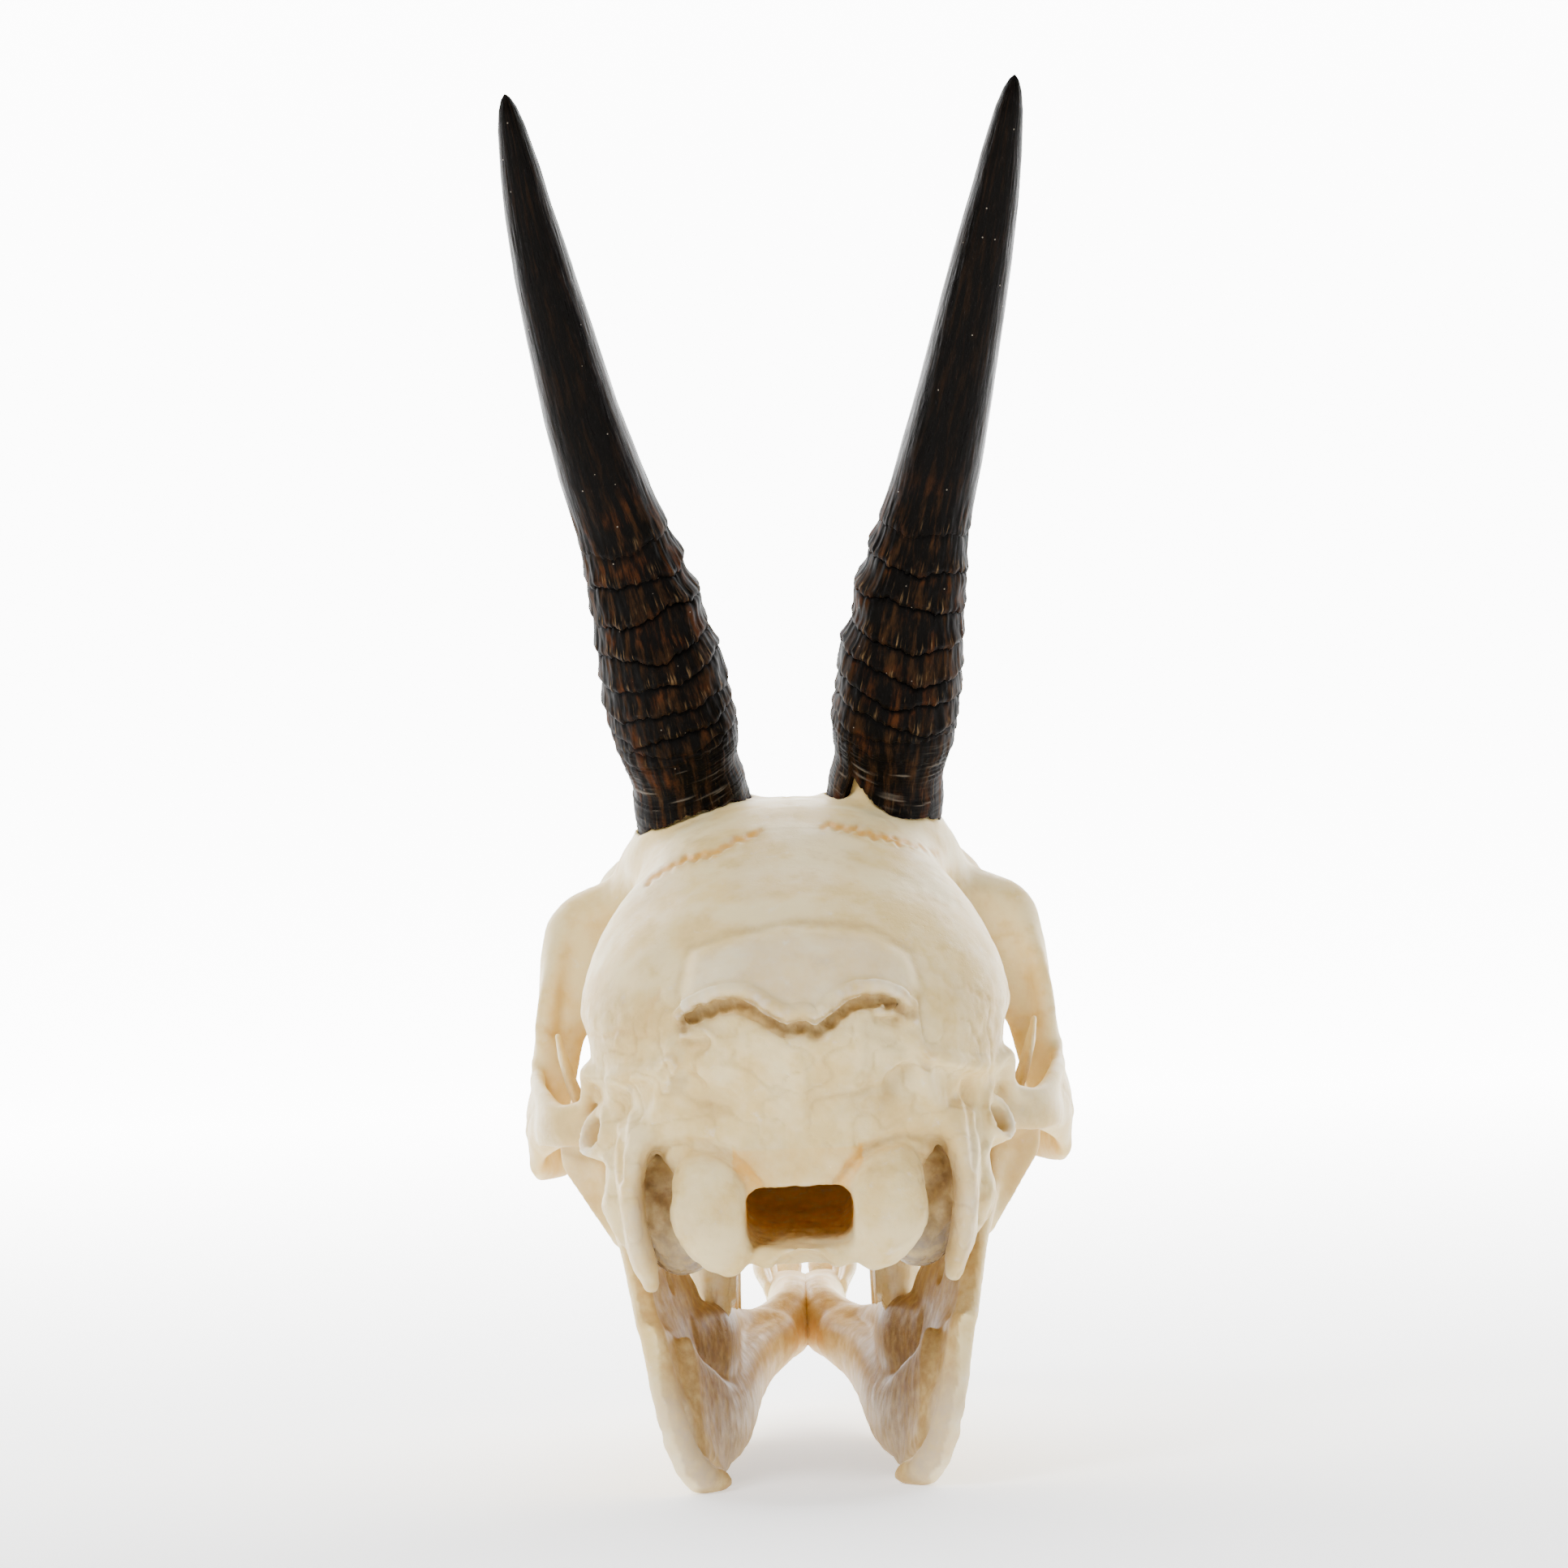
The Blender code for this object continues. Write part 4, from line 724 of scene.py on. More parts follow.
def cheek_arch(clay):
    """The right cheek arch, the rim of the orbit and the wings beside the throat."""
    wide = ARCH_HALF_WIDTH - 1.9
    jugal = loft([
        (16.0, 112, 46.0, 2.6, 5.0), (20.0, 105, 48.5, 3.2, 7.0), (24.6, 97, 51.0, 3.4, 8.6),
        (29.6, 88, 52.0, 3.2, 7.4), (34.2, 78, 51.2, 2.6, 5.8), (0.935 * wide, 68, 50.4, 2.2, 5.6),
        (0.985 * wide, 59, 51.0, 1.9, 6.2), (wide, 51, 52.6, 1.7, 6.6),
        (0.985 * wide, 44, 53.6, 1.5, 5.0), (0.915 * wide, 37, 53.8, 1.5, 3.0),
        (0.83 * wide, 31.5, 54.6, 2.4, 2.9), (0.71 * wide, 27.5, 55.4, 3.6, 3.4),
    ])
    bar = loft([
        (27.4, 65.5, 87.0, 3.6, 3.0), (32.5, 63.4, 84.8, 4.2, 2.8), (34.2, 60.8, 79.6, 4.6, 2.5),
        (35.4, 58.8, 72.0, 4.1, 2.4), (36.6, 57.4, 66.0, 3.7, 2.3), (37.6, 56.8, 60.0, 3.3, 2.3),
        (39.0, 56.6, 54.5, 2.8, 2.8),
    ], cap=0.4)
    wall = loft([
        (27.6, 64.0, 86.0, 3.4, 2.2), (29.8, 61.4, 82.0, 6.0, 1.8), (30.4, 59.2, 77.0, 7.6, 1.6),
        (30.8, 57.8, 72.6, 7.8, 1.5), (31.6, 57.2, 68.9, 7.2, 1.4),
    ], cap=0.7)
    joint_block = ellipsoid((28.6, 31.0, 54.6), (7.8, 6.2, 3.0))
    joint_stop = ellipsoid((27.6, 25.8, 53.8), (4.0, 1.8, 3.4))
    pterygoid = loft([
        (8.6, 42, 44.5, 1.3, 5.0), (9.0, 50, 42.6, 1.2, 6.6), (9.6, 58, 42.8, 1.3, 6.4),
        (11.0, 68, 44.0, 1.8, 5.4),
    ])
    hook = loft([(8.8, 50, 39.0, 1.3, 3.0), (8.6, 54, 36.0, 1.1, 1.8), (8.4, 57, 34.6, 0.9, 1.1)])
    for form, blend in (
        (jugal, 1.6), (wall, 2.5), (bar, 2.2), (joint_block, 2.0), (joint_stop, 1.5), (pterygoid, 1.5),
        (hook, 1.0),
    ):
        clay.fill(form, blend)
    centre_y, centre_z, tilt = 72.0, 68.4, 4.6
    ring = []
    for turn in np.linspace(0, 2 * math.pi, 33):
        x = 34.0 - tilt * math.cos(turn) - 1.8 * max(0.0, math.sin(turn))
        y = centre_y + (ORBIT_RADIUS + 1.2) * math.cos(turn)
        z = centre_z + (ORBIT_RADIUS + 0.6) * math.sin(turn)
        ring.append((x, y, z, 1.5))
    clay.add(clay.rod(ring, steps=1), 2.4)
    tubercle = [(38.6, 47.0, 52.2, 0.7), (40.6, 48.0, 53.0, 0.8), (41.2, 50.0, 53.0, 0.6)]
    knob = [(40.0, 49.0, 47.6, 1.1), (39.4, 53.0, 46.8, 1.2)]
    clay.strut(tubercle, 1.0)
    clay.strut(knob, 1.6)
    temporal_root(clay)


PEDICLE = ((-9.0, 12.2), (-4.5, 10.0), (-1.0, 8.7), (3.0, 8.2), (6.0, 7.3))  # rise and radius
CORE = ((0.0, 7.4), (0.03, 7.4), (0.06, 7.2), (0.09, 6.6))  # share of the horn's length, radius
CORE_DEPTH = 1.08  # front-to-back size as a share of the width
SLANT_REACH = 0.1  # the share of a horn's length over which its slant fades


def horn_frame(side, share):
    """Centre, axis, outward and backward directions of a horn at a share of its length."""
    centre = np.array(HORN_ROOT)
    spread = math.tan(math.radians(HORN_SPREAD_DEG[side]))
    steps = 24
    for step in range(steps + 1):
        turned = math.radians(HORN_RAKE_DEG - HORN_CURL_DEG * min(share, step / steps))
        axis = np.array([spread, -math.tan(turned), 1.0])
        axis /= np.linalg.norm(axis)
        if step < steps:
            centre = centre + axis * HORN_LENGTH * share / steps
    out = AXIS_X - axis * axis[0]
    out /= np.linalg.norm(out)
    centre = centre - np.interp(share, *zip(*HORN_BOW[side])) * out
    flip = np.array([side, 1, 1])
    return centre * flip, axis * flip, out * flip, np.cross(out, axis) * flip


def facing_out(side, triangles):
    """The triangles of a horn's rings, turned outwards: the rings of each side run its own way."""
    return triangles[:, ::-1] if side > 0 else triangles


def horn_ring(side, share, turns, wide, deep, shift):
    """Points round a horn, whose outer edge hangs lower near the base."""
    centre, axis, out, back = horn_frame(side, share)
    slant = HORN_SLANT * max(0.0, 1 - share / SLANT_REACH)
    u, v = np.cos(turns), np.sin(turns)
    return (
        centre
        + (u * wide)[:, None] * out
        + (v * wide * deep)[:, None] * back
        + (shift - u * slant)[:, None] * axis
    )


def pedicle(side):
    """The bone that carries a horn."""
    root, axis, _, _ = horn_frame(side, 0.0)
    rows = [(*(root + axis * rise), radius, radius * CORE_DEPTH) for rise, radius in PEDICLE]
    return loft(rows, cap=0.1)


def horn_seat(side):
    """The room that a horn sheath takes in the skull, from its rim up."""
    turns = np.linspace(0, 2 * math.pi, 72, endpoint=False)
    rise = horn_rise(side, turns)
    rings = []
    for share in (0.0, 0.03, 0.06, 0.10, 0.16, 0.24):
        shift = rise * max(0.0, 1 - share * HORN_LENGTH / HORN_RIM_REACH)
        wide = np.interp(share, *zip(*HORN_OUTLINE)) + 0.15
        rings.append(horn_ring(side, share, turns, wide, HORN_DEPTH, shift - 0.1))
    points, triangles = tube(rings, rings[0].mean(axis=0), rings[-1].mean(axis=0))
    return points, facing_out(side, triangles)


def horn_core(side):
    """The bony core inside the base of a sheath."""
    rows = [(*horn_frame(side, share)[0], radius, radius * CORE_DEPTH) for share, radius in CORE]
    return loft(rows, cap=0.3)


def foramen():
    """The great opening for the spinal cord."""
    return loft([
        (OCCIPUT_SHIFT, -6.0, 41.4, 8.0, 4.6), (OCCIPUT_SHIFT, 5.0, 41.5, 8.0, 4.5),
        (OCCIPUT_SHIFT, 11.0, 42.8, 8.0, 5.0), (OCCIPUT_SHIFT, 18.0, 48.5, 8.6, 8.4),
        (OCCIPUT_SHIFT, 30.0, 60.0, 12.0, 12.0),
    ], power=4.4, sides=72, cap=0.3)


def jaw_condyle(grow=0.0):
    """The knob that the jaw turns on, or its socket when grown."""
    return ellipsoid((29.6, 30.0, 52.6), (6.6 + grow, 3.4 + grow, 2.6 + grow), turn=(0, -6, 10))


def sculpt_cranium():
    clay = Clay((0, -3, 27), (45, 146, 112))
    cranium_masses(clay)
    cranium_hollows(clay)
    cheek_arch(clay)
    clay.unfold()
    occiput(clay)
    clay.carve(foramen(), 0.4)
    notch = [(OCCIPUT_SHIFT, -4, 31.3, 5.0), (OCCIPUT_SHIFT, 7, 31.3, 5.0), (OCCIPUT_SHIFT, 12, 29.5, 3.0)]
    clay.bore(notch, 0.8)
    socket = jaw_condyle(1.5 * CONTACT_GAP)
    for form in (socket, mirrored(socket)):
        clay.carve(form, 0.3)
    for side in (1, -1):
        clay.fill(pedicle(side), 4)
        clay.carve(horn_seat(side), 0.3)
        clay.fill(horn_core(side), 0.8)
    return clay


CORONAL = (  # x and z
    [(-21.6, 90.6), (-16.7, 93.4), (-11.7, 94.6), (-8.0, 96.2), (-4.1, 97.7)],
    [(5.2, 98.2), (8.5, 97.6), (11.9, 96.5), (16.8, 95.2), (23.0, 92.9)],
)
SQUAMOSAL = (  # x and z
    [(18.8, 76.6), (22.0, 75.5), (22.8, 72.0), (23.5, 73.7), (25.6, 73.7), (27.3, 72.2), (31.0, 70.4)],
    [(-19.5, 75.0), (-21.8, 71.0), (-22.4, 68.0), (-25.5, 69.5), (-28.0, 68.2), (-31.0, 68.6)],
)
BAR_SEAM = ((32.6, 68.6), (36.0, 67.4), (41.0, 68.8))  # across the bar behind the orbit
NASAL_SEAM = ((2.0, 89.5), (8.5, 86.5), (12.0, 92.0), (16.5, 97.0))  # x and y
FACE_SEAMS = (  # y and z
    [(92, 46), (97, 53), (103, 60), (100, 68), (94, 76), (90, 83)],
    [(22, 71), (32, 76.5), (44, 75), (54, 68)],
    [(38, 57.5), (45, 54), (52, 50)],
    [(103, 60), (114, 62), (122, 56)],
)
RAISED_PLATE = [
    (-16.4, 74.5), (-14.7, 80.5), (-8.6, 82.3), (1.6, 83.4), (10.7, 82.4), (16.6, 78.8), (17.8, 74.0),
    *CREST[::-1],
]
REAR = (-10, 50)  # how deep the rear's seams reach, along y
FISSURE_SIZE = 3.4
SPOTS_OF_STAIN_AND_SHADE = (  # name, centre, radii and amount on the right, and how much of it on the left
    ("grey", (16.8, 24.0, 35.6), (7.4, 11.0, 6.4), 2.2, 1.0),
    # painted shade in brown and tan in the recess beside each condyle
    ("brown", (20.6, 14.0, 45.5), (2.6, 9.0, 3.4), 1.0, 1.0),
    ("tan", (20.4, 14.0, 42.0), (4.2, 8.0, 7.5), 1.6, 1.0),
    ("stain", (11.0, 2.0, 50.8), (3.6, 4.0, 0.9), 0.25, 2.6),
    ("stain", (18.9, 9.0, 64.4), (1.0, 5.0, 1.2), 1.0, 1.0),
    ("tan", (13.4, 3.0, 58.4), (3.6, 4.5, 2.8), 0.55, 1.2),
    ("tan", (25.5, 14.0, 72.0), (5.5, 14.0, 5.0), 0.5, 1.3),
    ("tan", (28.0, 20.0, 66.0), (4.0, 10.0, 3.0), 0.6, 1.0),
    ("tan", (36.0, 29.0, 53.6), (5.0, 9.0, 3.2), 0.65, 1.0),
    ("tan", (34.0, 57.0, 64.0), (3.0, 8.0, 5.0), 0.5, 1.0),
    ("stain", (32.0, 24.0, 51.4), (4.5, 5.0, 1.2), 0.5, 1.0),
    ("tan", (22.0, 11.0, 56.0), (2.2, 6.0, 6.0), 0.35, 1.0),
    ("chalk", (24.4, 8.0, 42.0), (2.0, 4.0, 9.0), 0.35, 1.0),
    ("chalk", (33.6, 17.0, 54.0), (2.6, 4.0, 4.0), 0.9, 1.0),
)


def enclosed(flat, outline):
    """Whether each flat point lies inside an outline."""
    found = np.zeros(len(flat), bool)
    for (ax, ay), (bx, by) in zip(outline, outline[1:] + outline[:1]):
        crosses = (flat[:, 1] > ay) != (flat[:, 1] > by)
        found ^= crosses & (flat[:, 0] < ax + (flat[:, 1] - ay) * (bx - ax) / (by - ay + 1e-12))
    return found


def paint_shade_in_hollows(skin):
    """Paints shade into the hollows, as the value hollow: stronger where more bone crowds round a point.
    """
    close = skin.clay.crowding(skin.points, 1.7)
    wide = skin.clay.crowding(skin.points, 4.2)
    skin.mark("hollow", 0.55 * ramp(close, 0.56, 0.82) + 0.55 * ramp(wide, 0.60, 0.88))


def paint_spots(skin, rows):
    # spots of stain and of painted shade, on both sides
    for name, centre, radii, amount, on_left in rows:
        for side, share in ((1, 1.0), (-1, on_left)):
            place = np.array(centre) * (side, 1, 1)
            uneven = 0.85 + 0.3 * noise(skin.points, 2.5, 11)
            skin.mark(name, amount * share * skin.spot(place, radii) * uneven)


def raise_plate(skin, uneven):
    """The raised plate above the nuchal crest, with a pale top and painted shade in tan at the foot of its
    edge.
    """
    flat, facing = skin.seen("rear", REAR)
    edge = line_distance(flat, RAISED_PLATE, 6.0)
    signed = np.where(enclosed(flat, RAISED_PLATE), -edge, edge)
    skin.push(0.60 * ramp(signed + uneven, 0.9, -1.5) * facing)
    skin.mark("chalk", 0.28 * ramp(signed, 0.3, -2.5) * facing)
    # painted shade in tan just outside the plate's edge, where it steps down
    skin.mark("tan", 0.6 * np.exp(-((signed - 0.8) / 0.7) ** 2) * facing * (1 + uneven))


def undercut_crest(skin):
    """The hollow under the nuchal crest, cut in, with the crest's shadow painted along it in brown and
    tan.
    """
    under = [(x, z - 1.6) for x, z in zigzag(CREST, 1.2, 0.5, 8)]
    skin.push(-0.9 * skin.band("rear", under, 0.75, REAR))
    # painted shadow under the crest's edge
    skin.mark("brown", 0.55 * skin.band("rear", under, 0.8, REAR))
    skin.mark("tan", 0.7 * skin.band("rear", under, 1.9, REAR))


def fissure(skin, rugged):
    """Fine cracks where the bone is rugged, but not on the condyles."""
    x, y, z = skin.points.T
    joint = (np.abs(x - OCCIPUT_SHIFT) < 17.5) & (z < 51.5) & (y < 9)
    cracks = rugged * ~joint * ramp(np.abs(noise(skin.points, FISSURE_SIZE, 7)), 0.14, 0.0)
    skin.push(-0.15 * cracks)
    skin.mark("tan", 0.4 * cracks)


def seam_cranium(skin):
    """The sutures between the bones, and the small holes for nerves and vessels."""
    for seed, path in enumerate(CORONAL):
        skin.suture("rear", path, REAR, 20 + seed, 0.5, 0.55, 1.6)
        skin.mark("ember", 0.9 * skin.band("rear", zigzag(path, 1.4, 0.45, 20 + seed), 0.45, REAR))
    for seed, path in enumerate(SQUAMOSAL):
        skin.suture("rear", path, REAR, 30 + seed, 0.4, 0.30, 0.4)
    for seed, side in ((40, 1), (41, -1)):
        bar_seam = [(side * x, z) for x, z in BAR_SEAM]
        nasal_seam = [(side * x, y) for x, y in NASAL_SEAM]
        skin.suture("rear", bar_seam, (45, 70), seed, 0.5, 0.2, 0.5)
        skin.suture("top", nasal_seam, (60, 110), seed, 0.5)
        skin.pit("top", (side * 12.5, 75.0), 1.5, 2.0, (80, 110))
        skin.pit("top", (side * 12.2, 79.5), 0.8, 1.0, (80, 110))
    skin.suture("top", [(0, 44), (0, 60), (0, 84)], (80, 110), 45, 0.6, 0.22, 0.35)
    for view, seed, face, hollow in (
        ("right", 50, (5, 60), (5, 30)), ("left", 60, (-60, -5), (-30, -5)),
    ):
        for number, path in enumerate(FACE_SEAMS):
            skin.suture(view, path, face, seed + number, 0.45, 0.22, 0.35)
        skin.pit(view, (112.5, 45.5), 1.7, 2.6, face)
        skin.pit(view, (60.0, 58.0), 1.5, 2.5, hollow)


def stain_and_shade_cranium(skin, behind):
    """The stains and painted shade: the listed spots, amber inside the foramen, painted shade in brown
    deep in the nose, tan below, chalk on what stands out.
    """
    paint_spots(skin, SPOTS_OF_STAIN_AND_SHADE)
    x, y, z = skin.points.T
    within = (np.abs(x - OCCIPUT_SHIFT) < 9.5) & (z > 36.0) & (z < 50.0 + 0.4 * y) & (y < 50)
    skin.mark("amber", within * ramp(y, 2.0, 6.0) * ramp(z + 0.35 * y, 40.0, 46.5))
    # painted shade in brown, stronger deeper in the nose where more bone crowds round
    nose = (np.abs(x) < 11) & (y > 96) & (z < 67 - 0.5 * (y - 96)) & (z > 36)
    skin.mark("brown", 0.55 * nose * ramp(skin.clay.crowding(skin.points, 6.0), 0.35, 0.6))
    skin.mark("tan", 0.5 * ramp(z, 47, 40) * ramp(y, 16, 26))
    skin.mark("tan", 0.25 * behind * ramp(noise(skin.points, 8.0, 9), 0.0, 0.6))
    skin.mark("chalk", 0.6 * ramp(skin.relief(1.2), 0.10, 0.35))
    skin.paint["chalk"] *= 1 - np.clip(skin.paint["grey"] + skin.paint["brown"], 0, 1)


def detail_cranium(skin):
    points = skin.points
    paint_shade_in_hollows(skin)
    behind = points[:, 1] < 34
    rugged = ramp(points[:, 1], 30, 12) * ramp(points[:, 2], 78, 66)
    skin.push(0.10 * rough(points, 7.0, 1) + 0.12 * rugged * rough(points, 2.2, 2))
    skin.push(0.035 * rough(points, 1.1, 3, 2) * (0.5 + rugged))
    raise_plate(skin, 0.5 * noise(points, 2.0, 5))
    undercut_crest(skin)
    fissure(skin, rugged)
    seam_cranium(skin)
    stain_and_shade_cranium(skin, behind)


# spots on the jaw's inner faces: tan and brown as painted shade, with stain and grey there too
JAW_INNER_SHADE_AND_STAIN = (
    ("tan", (22.0, 30.0, 26.0), (12.0, 34.0, 32.0), 4.0),
    ("stain", (22.0, 24.0, 28.0), (6.0, 16.0, 18.0), 0.35),
    ("brown", (16.0, 30.0, 18.0), (6.0, 16.0, 14.0), 0.9),
    ("grey", (13.0, 50.0, 9.0), (3.0, 22.0, 7.0), 0.4),
    ("tan", (13.0, 75.0, 14.0), (8.0, 60.0, 16.0), 4.0),
    ("brown", (14.0, 64.0, 18.0), (5.0, 36.0, 12.0), 0.8),
    ("tan", (4.0, 118.0, 15.0), (12.0, 20.0, 9.0), 3.0),
    ("stain", (0.0, 115.0, 14.5), (2.6, 12.0, 3.2), 1.6),
)


def detail_jaw(skin):
    points = skin.points
    paint_shade_in_hollows(skin)
    skin.push(0.09 * rough(points, 6.0, 21) + 0.035 * rough(points, 1.2, 22, 2))
    rear = ramp(points[:, 1], 16, 12) * ramp(points[:, 2], 22, 10)
    skin.push(0.22 * rough(points, 2.0, 23) * rear)
    skin.mark("chalk", 0.3 * rear)
    # painted shade in tan and brown on the jaw's inner faces, with some stain and grey
    inner = ramp(-skin.normals[:, 0], -0.25, 0.25)
    for name, centre, radii, amount in JAW_INNER_SHADE_AND_STAIN:
        skin.mark(name, amount * skin.spot(centre, radii) * inner)
    skin.mark("tan", 0.35 * ramp(noise(points, 7.0, 24), 0.1, 0.7))
    skin.mark("stain", 0.35 * ramp(points[:, 2], 60, 50) * ramp(points[:, 2], 36, 46))
    skin.pit("right", (118.5, 16.5), 1.2, 1.6)
    skin.pit("right", (108.0, 15.0), 0.6, 1.0)
    skin.pit("left", (36.0, 30.0), 1.5, 2.0, (5, 40))


# Teeth

UPPER_TEETH = (  # from the last molar forwards: distance from the midline, length, width
    (17.8, 11.0, 9.0), (18.9, 11.0, 9.6), (18.8, 9.6, 9.2), (18.0, 6.9, 8.0), (16.8, 7.3, 7.0),
    (15.4, 7.2, 5.6),
)
LOWER_TEETH = (
    (14.2, 14.8, 6.4), (14.6, 10.6, 6.6), (14.6, 9.0, 6.0), (14.2, 7.0, 5.0), (13.5, 6.6, 4.4),
    (12.7, 5.0, 3.6),
)
INCISORS = ((3.15, 157.0, 2.7), (6.1, 154.2, 1.5), (7.1, 151.2, 1.3), (7.5, 148.3, 1.15))
LAST_MOLAR_REAR = 60.6  # y of the rear of the last molars
TOOTH_GAP = 0.3
LOBE_LENGTH = 5.2  # about how long each lobe of a cheek tooth is
BITE_REAR = (66.0, 32.4)  # y and z of the biting line, behind and in front
BITE_FRONT = (117.0, 26.4)
BITE_GAP = 0.9  # between the upper and the lower teeth
TOOTH_STEP = 0.28


def bite_height(y):
    share = (y - BITE_REAR[0]) / (BITE_FRONT[0] - BITE_REAR[0])
    return BITE_REAR[1] + share * (BITE_FRONT[1] - BITE_REAR[1])


def tooth_row(teeth, height, rise):
    """Cheek teeth on the right: columns with crescent cusps. rise is +1 for the lower row."""
    low = (teeth[-1][0] - 6, LAST_MOLAR_REAR - 2, 16 if rise > 0 else 24)
    clay = Clay(low, (25, 120, 36 if rise > 0 else 45), TOOTH_STEP)
    rear = LAST_MOLAR_REAR
    for x, length, width in teeth:
        lobes = max(1, round(length / LOBE_LENGTH))
        half = length / (2 * lobes) * (1.08 if lobes > 1 else 1.0)
        for centre in np.linspace(rear + half, rear + length - half, lobes):
            edge = bite_height(centre) - rise * BITE_GAP / 2
            rows = [
                (x, centre, edge - rise * (height + 4), 0.30 * width, half * 0.72),
                (x, centre, edge - rise * height, 0.42 * width, half * 0.9),
                (x, centre, edge - rise * 1.6, 0.5 * width, half),
                (x, centre, edge - rise * 0.3, 0.44 * width, half * 0.9),
            ]
            clay.fill(loft(rows, power=2.5, steps=4, cap=0.3), 0.5)
            for out in (0.46, -0.46):
                style = [
                    (x + out * width, centre - half * 0.25, edge - rise * height, 0.5),
                    (x + out * width, centre - half * 0.25, edge - rise * 0.9, 0.65),
                ]
                clay.strut(style, 0.7)
            bowl = ellipsoid((x, centre, edge + rise * 0.2), (0.2 * width, half * 0.5, 1.3))
            clay.carve(bowl, 0.5)
            notch = [
                (x + 0.7 * width, centre + half, edge + rise * 0.3, 0.9),
                (x - 0.7 * width, centre + half, edge + rise * 0.3, 0.9),
            ]
            clay.bore(notch, 0.5)
        rear += length + TOOTH_GAP
    return clay


def incisors():
    """The four spade-shaped front teeth of the right half, the first much the widest."""
    clay = Clay((0.05, 144, 15), (10, 163, 27), TOOTH_STEP * FINER)
    for x, y, half_wide in INCISORS:
        fan = (x - 1.8) * 0.2
        rows = [
            (x - fan * 2.2, y - 9.0, 17.6, half_wide * 0.5, 1.5),
            (x - fan, y - 3.5, 20.4, half_wide * 0.72, 1.3), (x, y, 22.8, half_wide, 0.95),
            (x + fan * 0.3, y + 2.2, 24.3, half_wide * 0.9, 0.35),
        ]
        clay.fill(loft(rows, cap=0.3))
    return clay


# Nasals and premaxillae

NASAL_INNER_SIDE = 0.12  # how far the pair's flat inner sides stay from the middle
PREMAXILLA_INNER_SIDE = 0.15
NASAL = (
    (3.2, 84.5, 92.6, 2.4, 1.2), (4.3, 92.0, 88.8, 4.0, 1.4), (4.7, 104.0, 81.2, 4.4, 1.5),
    (4.6, 118.0, 72.6, 4.3, 1.5), (4.3, 132.0, 64.2, 4.0, 1.4), (3.0, 144.5, 57.4, 2.3, 0.9),
)
PREMAXILLA = (
    (9.4, 122.0, 57.8, 1.0, 2.2), (10.2, 129.0, 53.6, 1.3, 4.4), (10.0, 136.5, 48.0, 1.5, 6.2),
    (9.2, 144.0, 42.6, 1.6, 6.6), (8.0, 151.0, 38.4, 1.8, 5.0), (6.4, 157.5, 35.0, 2.4, 3.2),
    (4.6, 162.0, 33.2, 2.8, 1.9), (3.2, SKULL_LENGTH - 1.2, 32.2, 2.0, 1.1),
)
PALATINE_ROD = (
    (3.8, 160.5, 33.2, 1.5, 1.2), (2.4, 150.0, 35.0, 1.1, 1.2), (2.1, 141.5, 36.4, 0.9, 1.1),
)


def sculpt_nasal():
    clay = Clay((-1, 80, 54), (12, 148, 97), STEP * FINER)
    clay.fill(loft(NASAL, power=2.6))
    clay.slice_off(0, NASAL_INNER_SIDE)
    return clay


def sculpt_premaxilla():
    clay = Clay((-1, 118, 28), (14, 168, 64), STEP * FINER)
    clay.fill(loft(PREMAXILLA))
    clay.fill(loft(PALATINE_ROD), 0.8)
    clay.slice_off(0, PREMAXILLA_INNER_SIDE)
    return clay


# Lower jaw


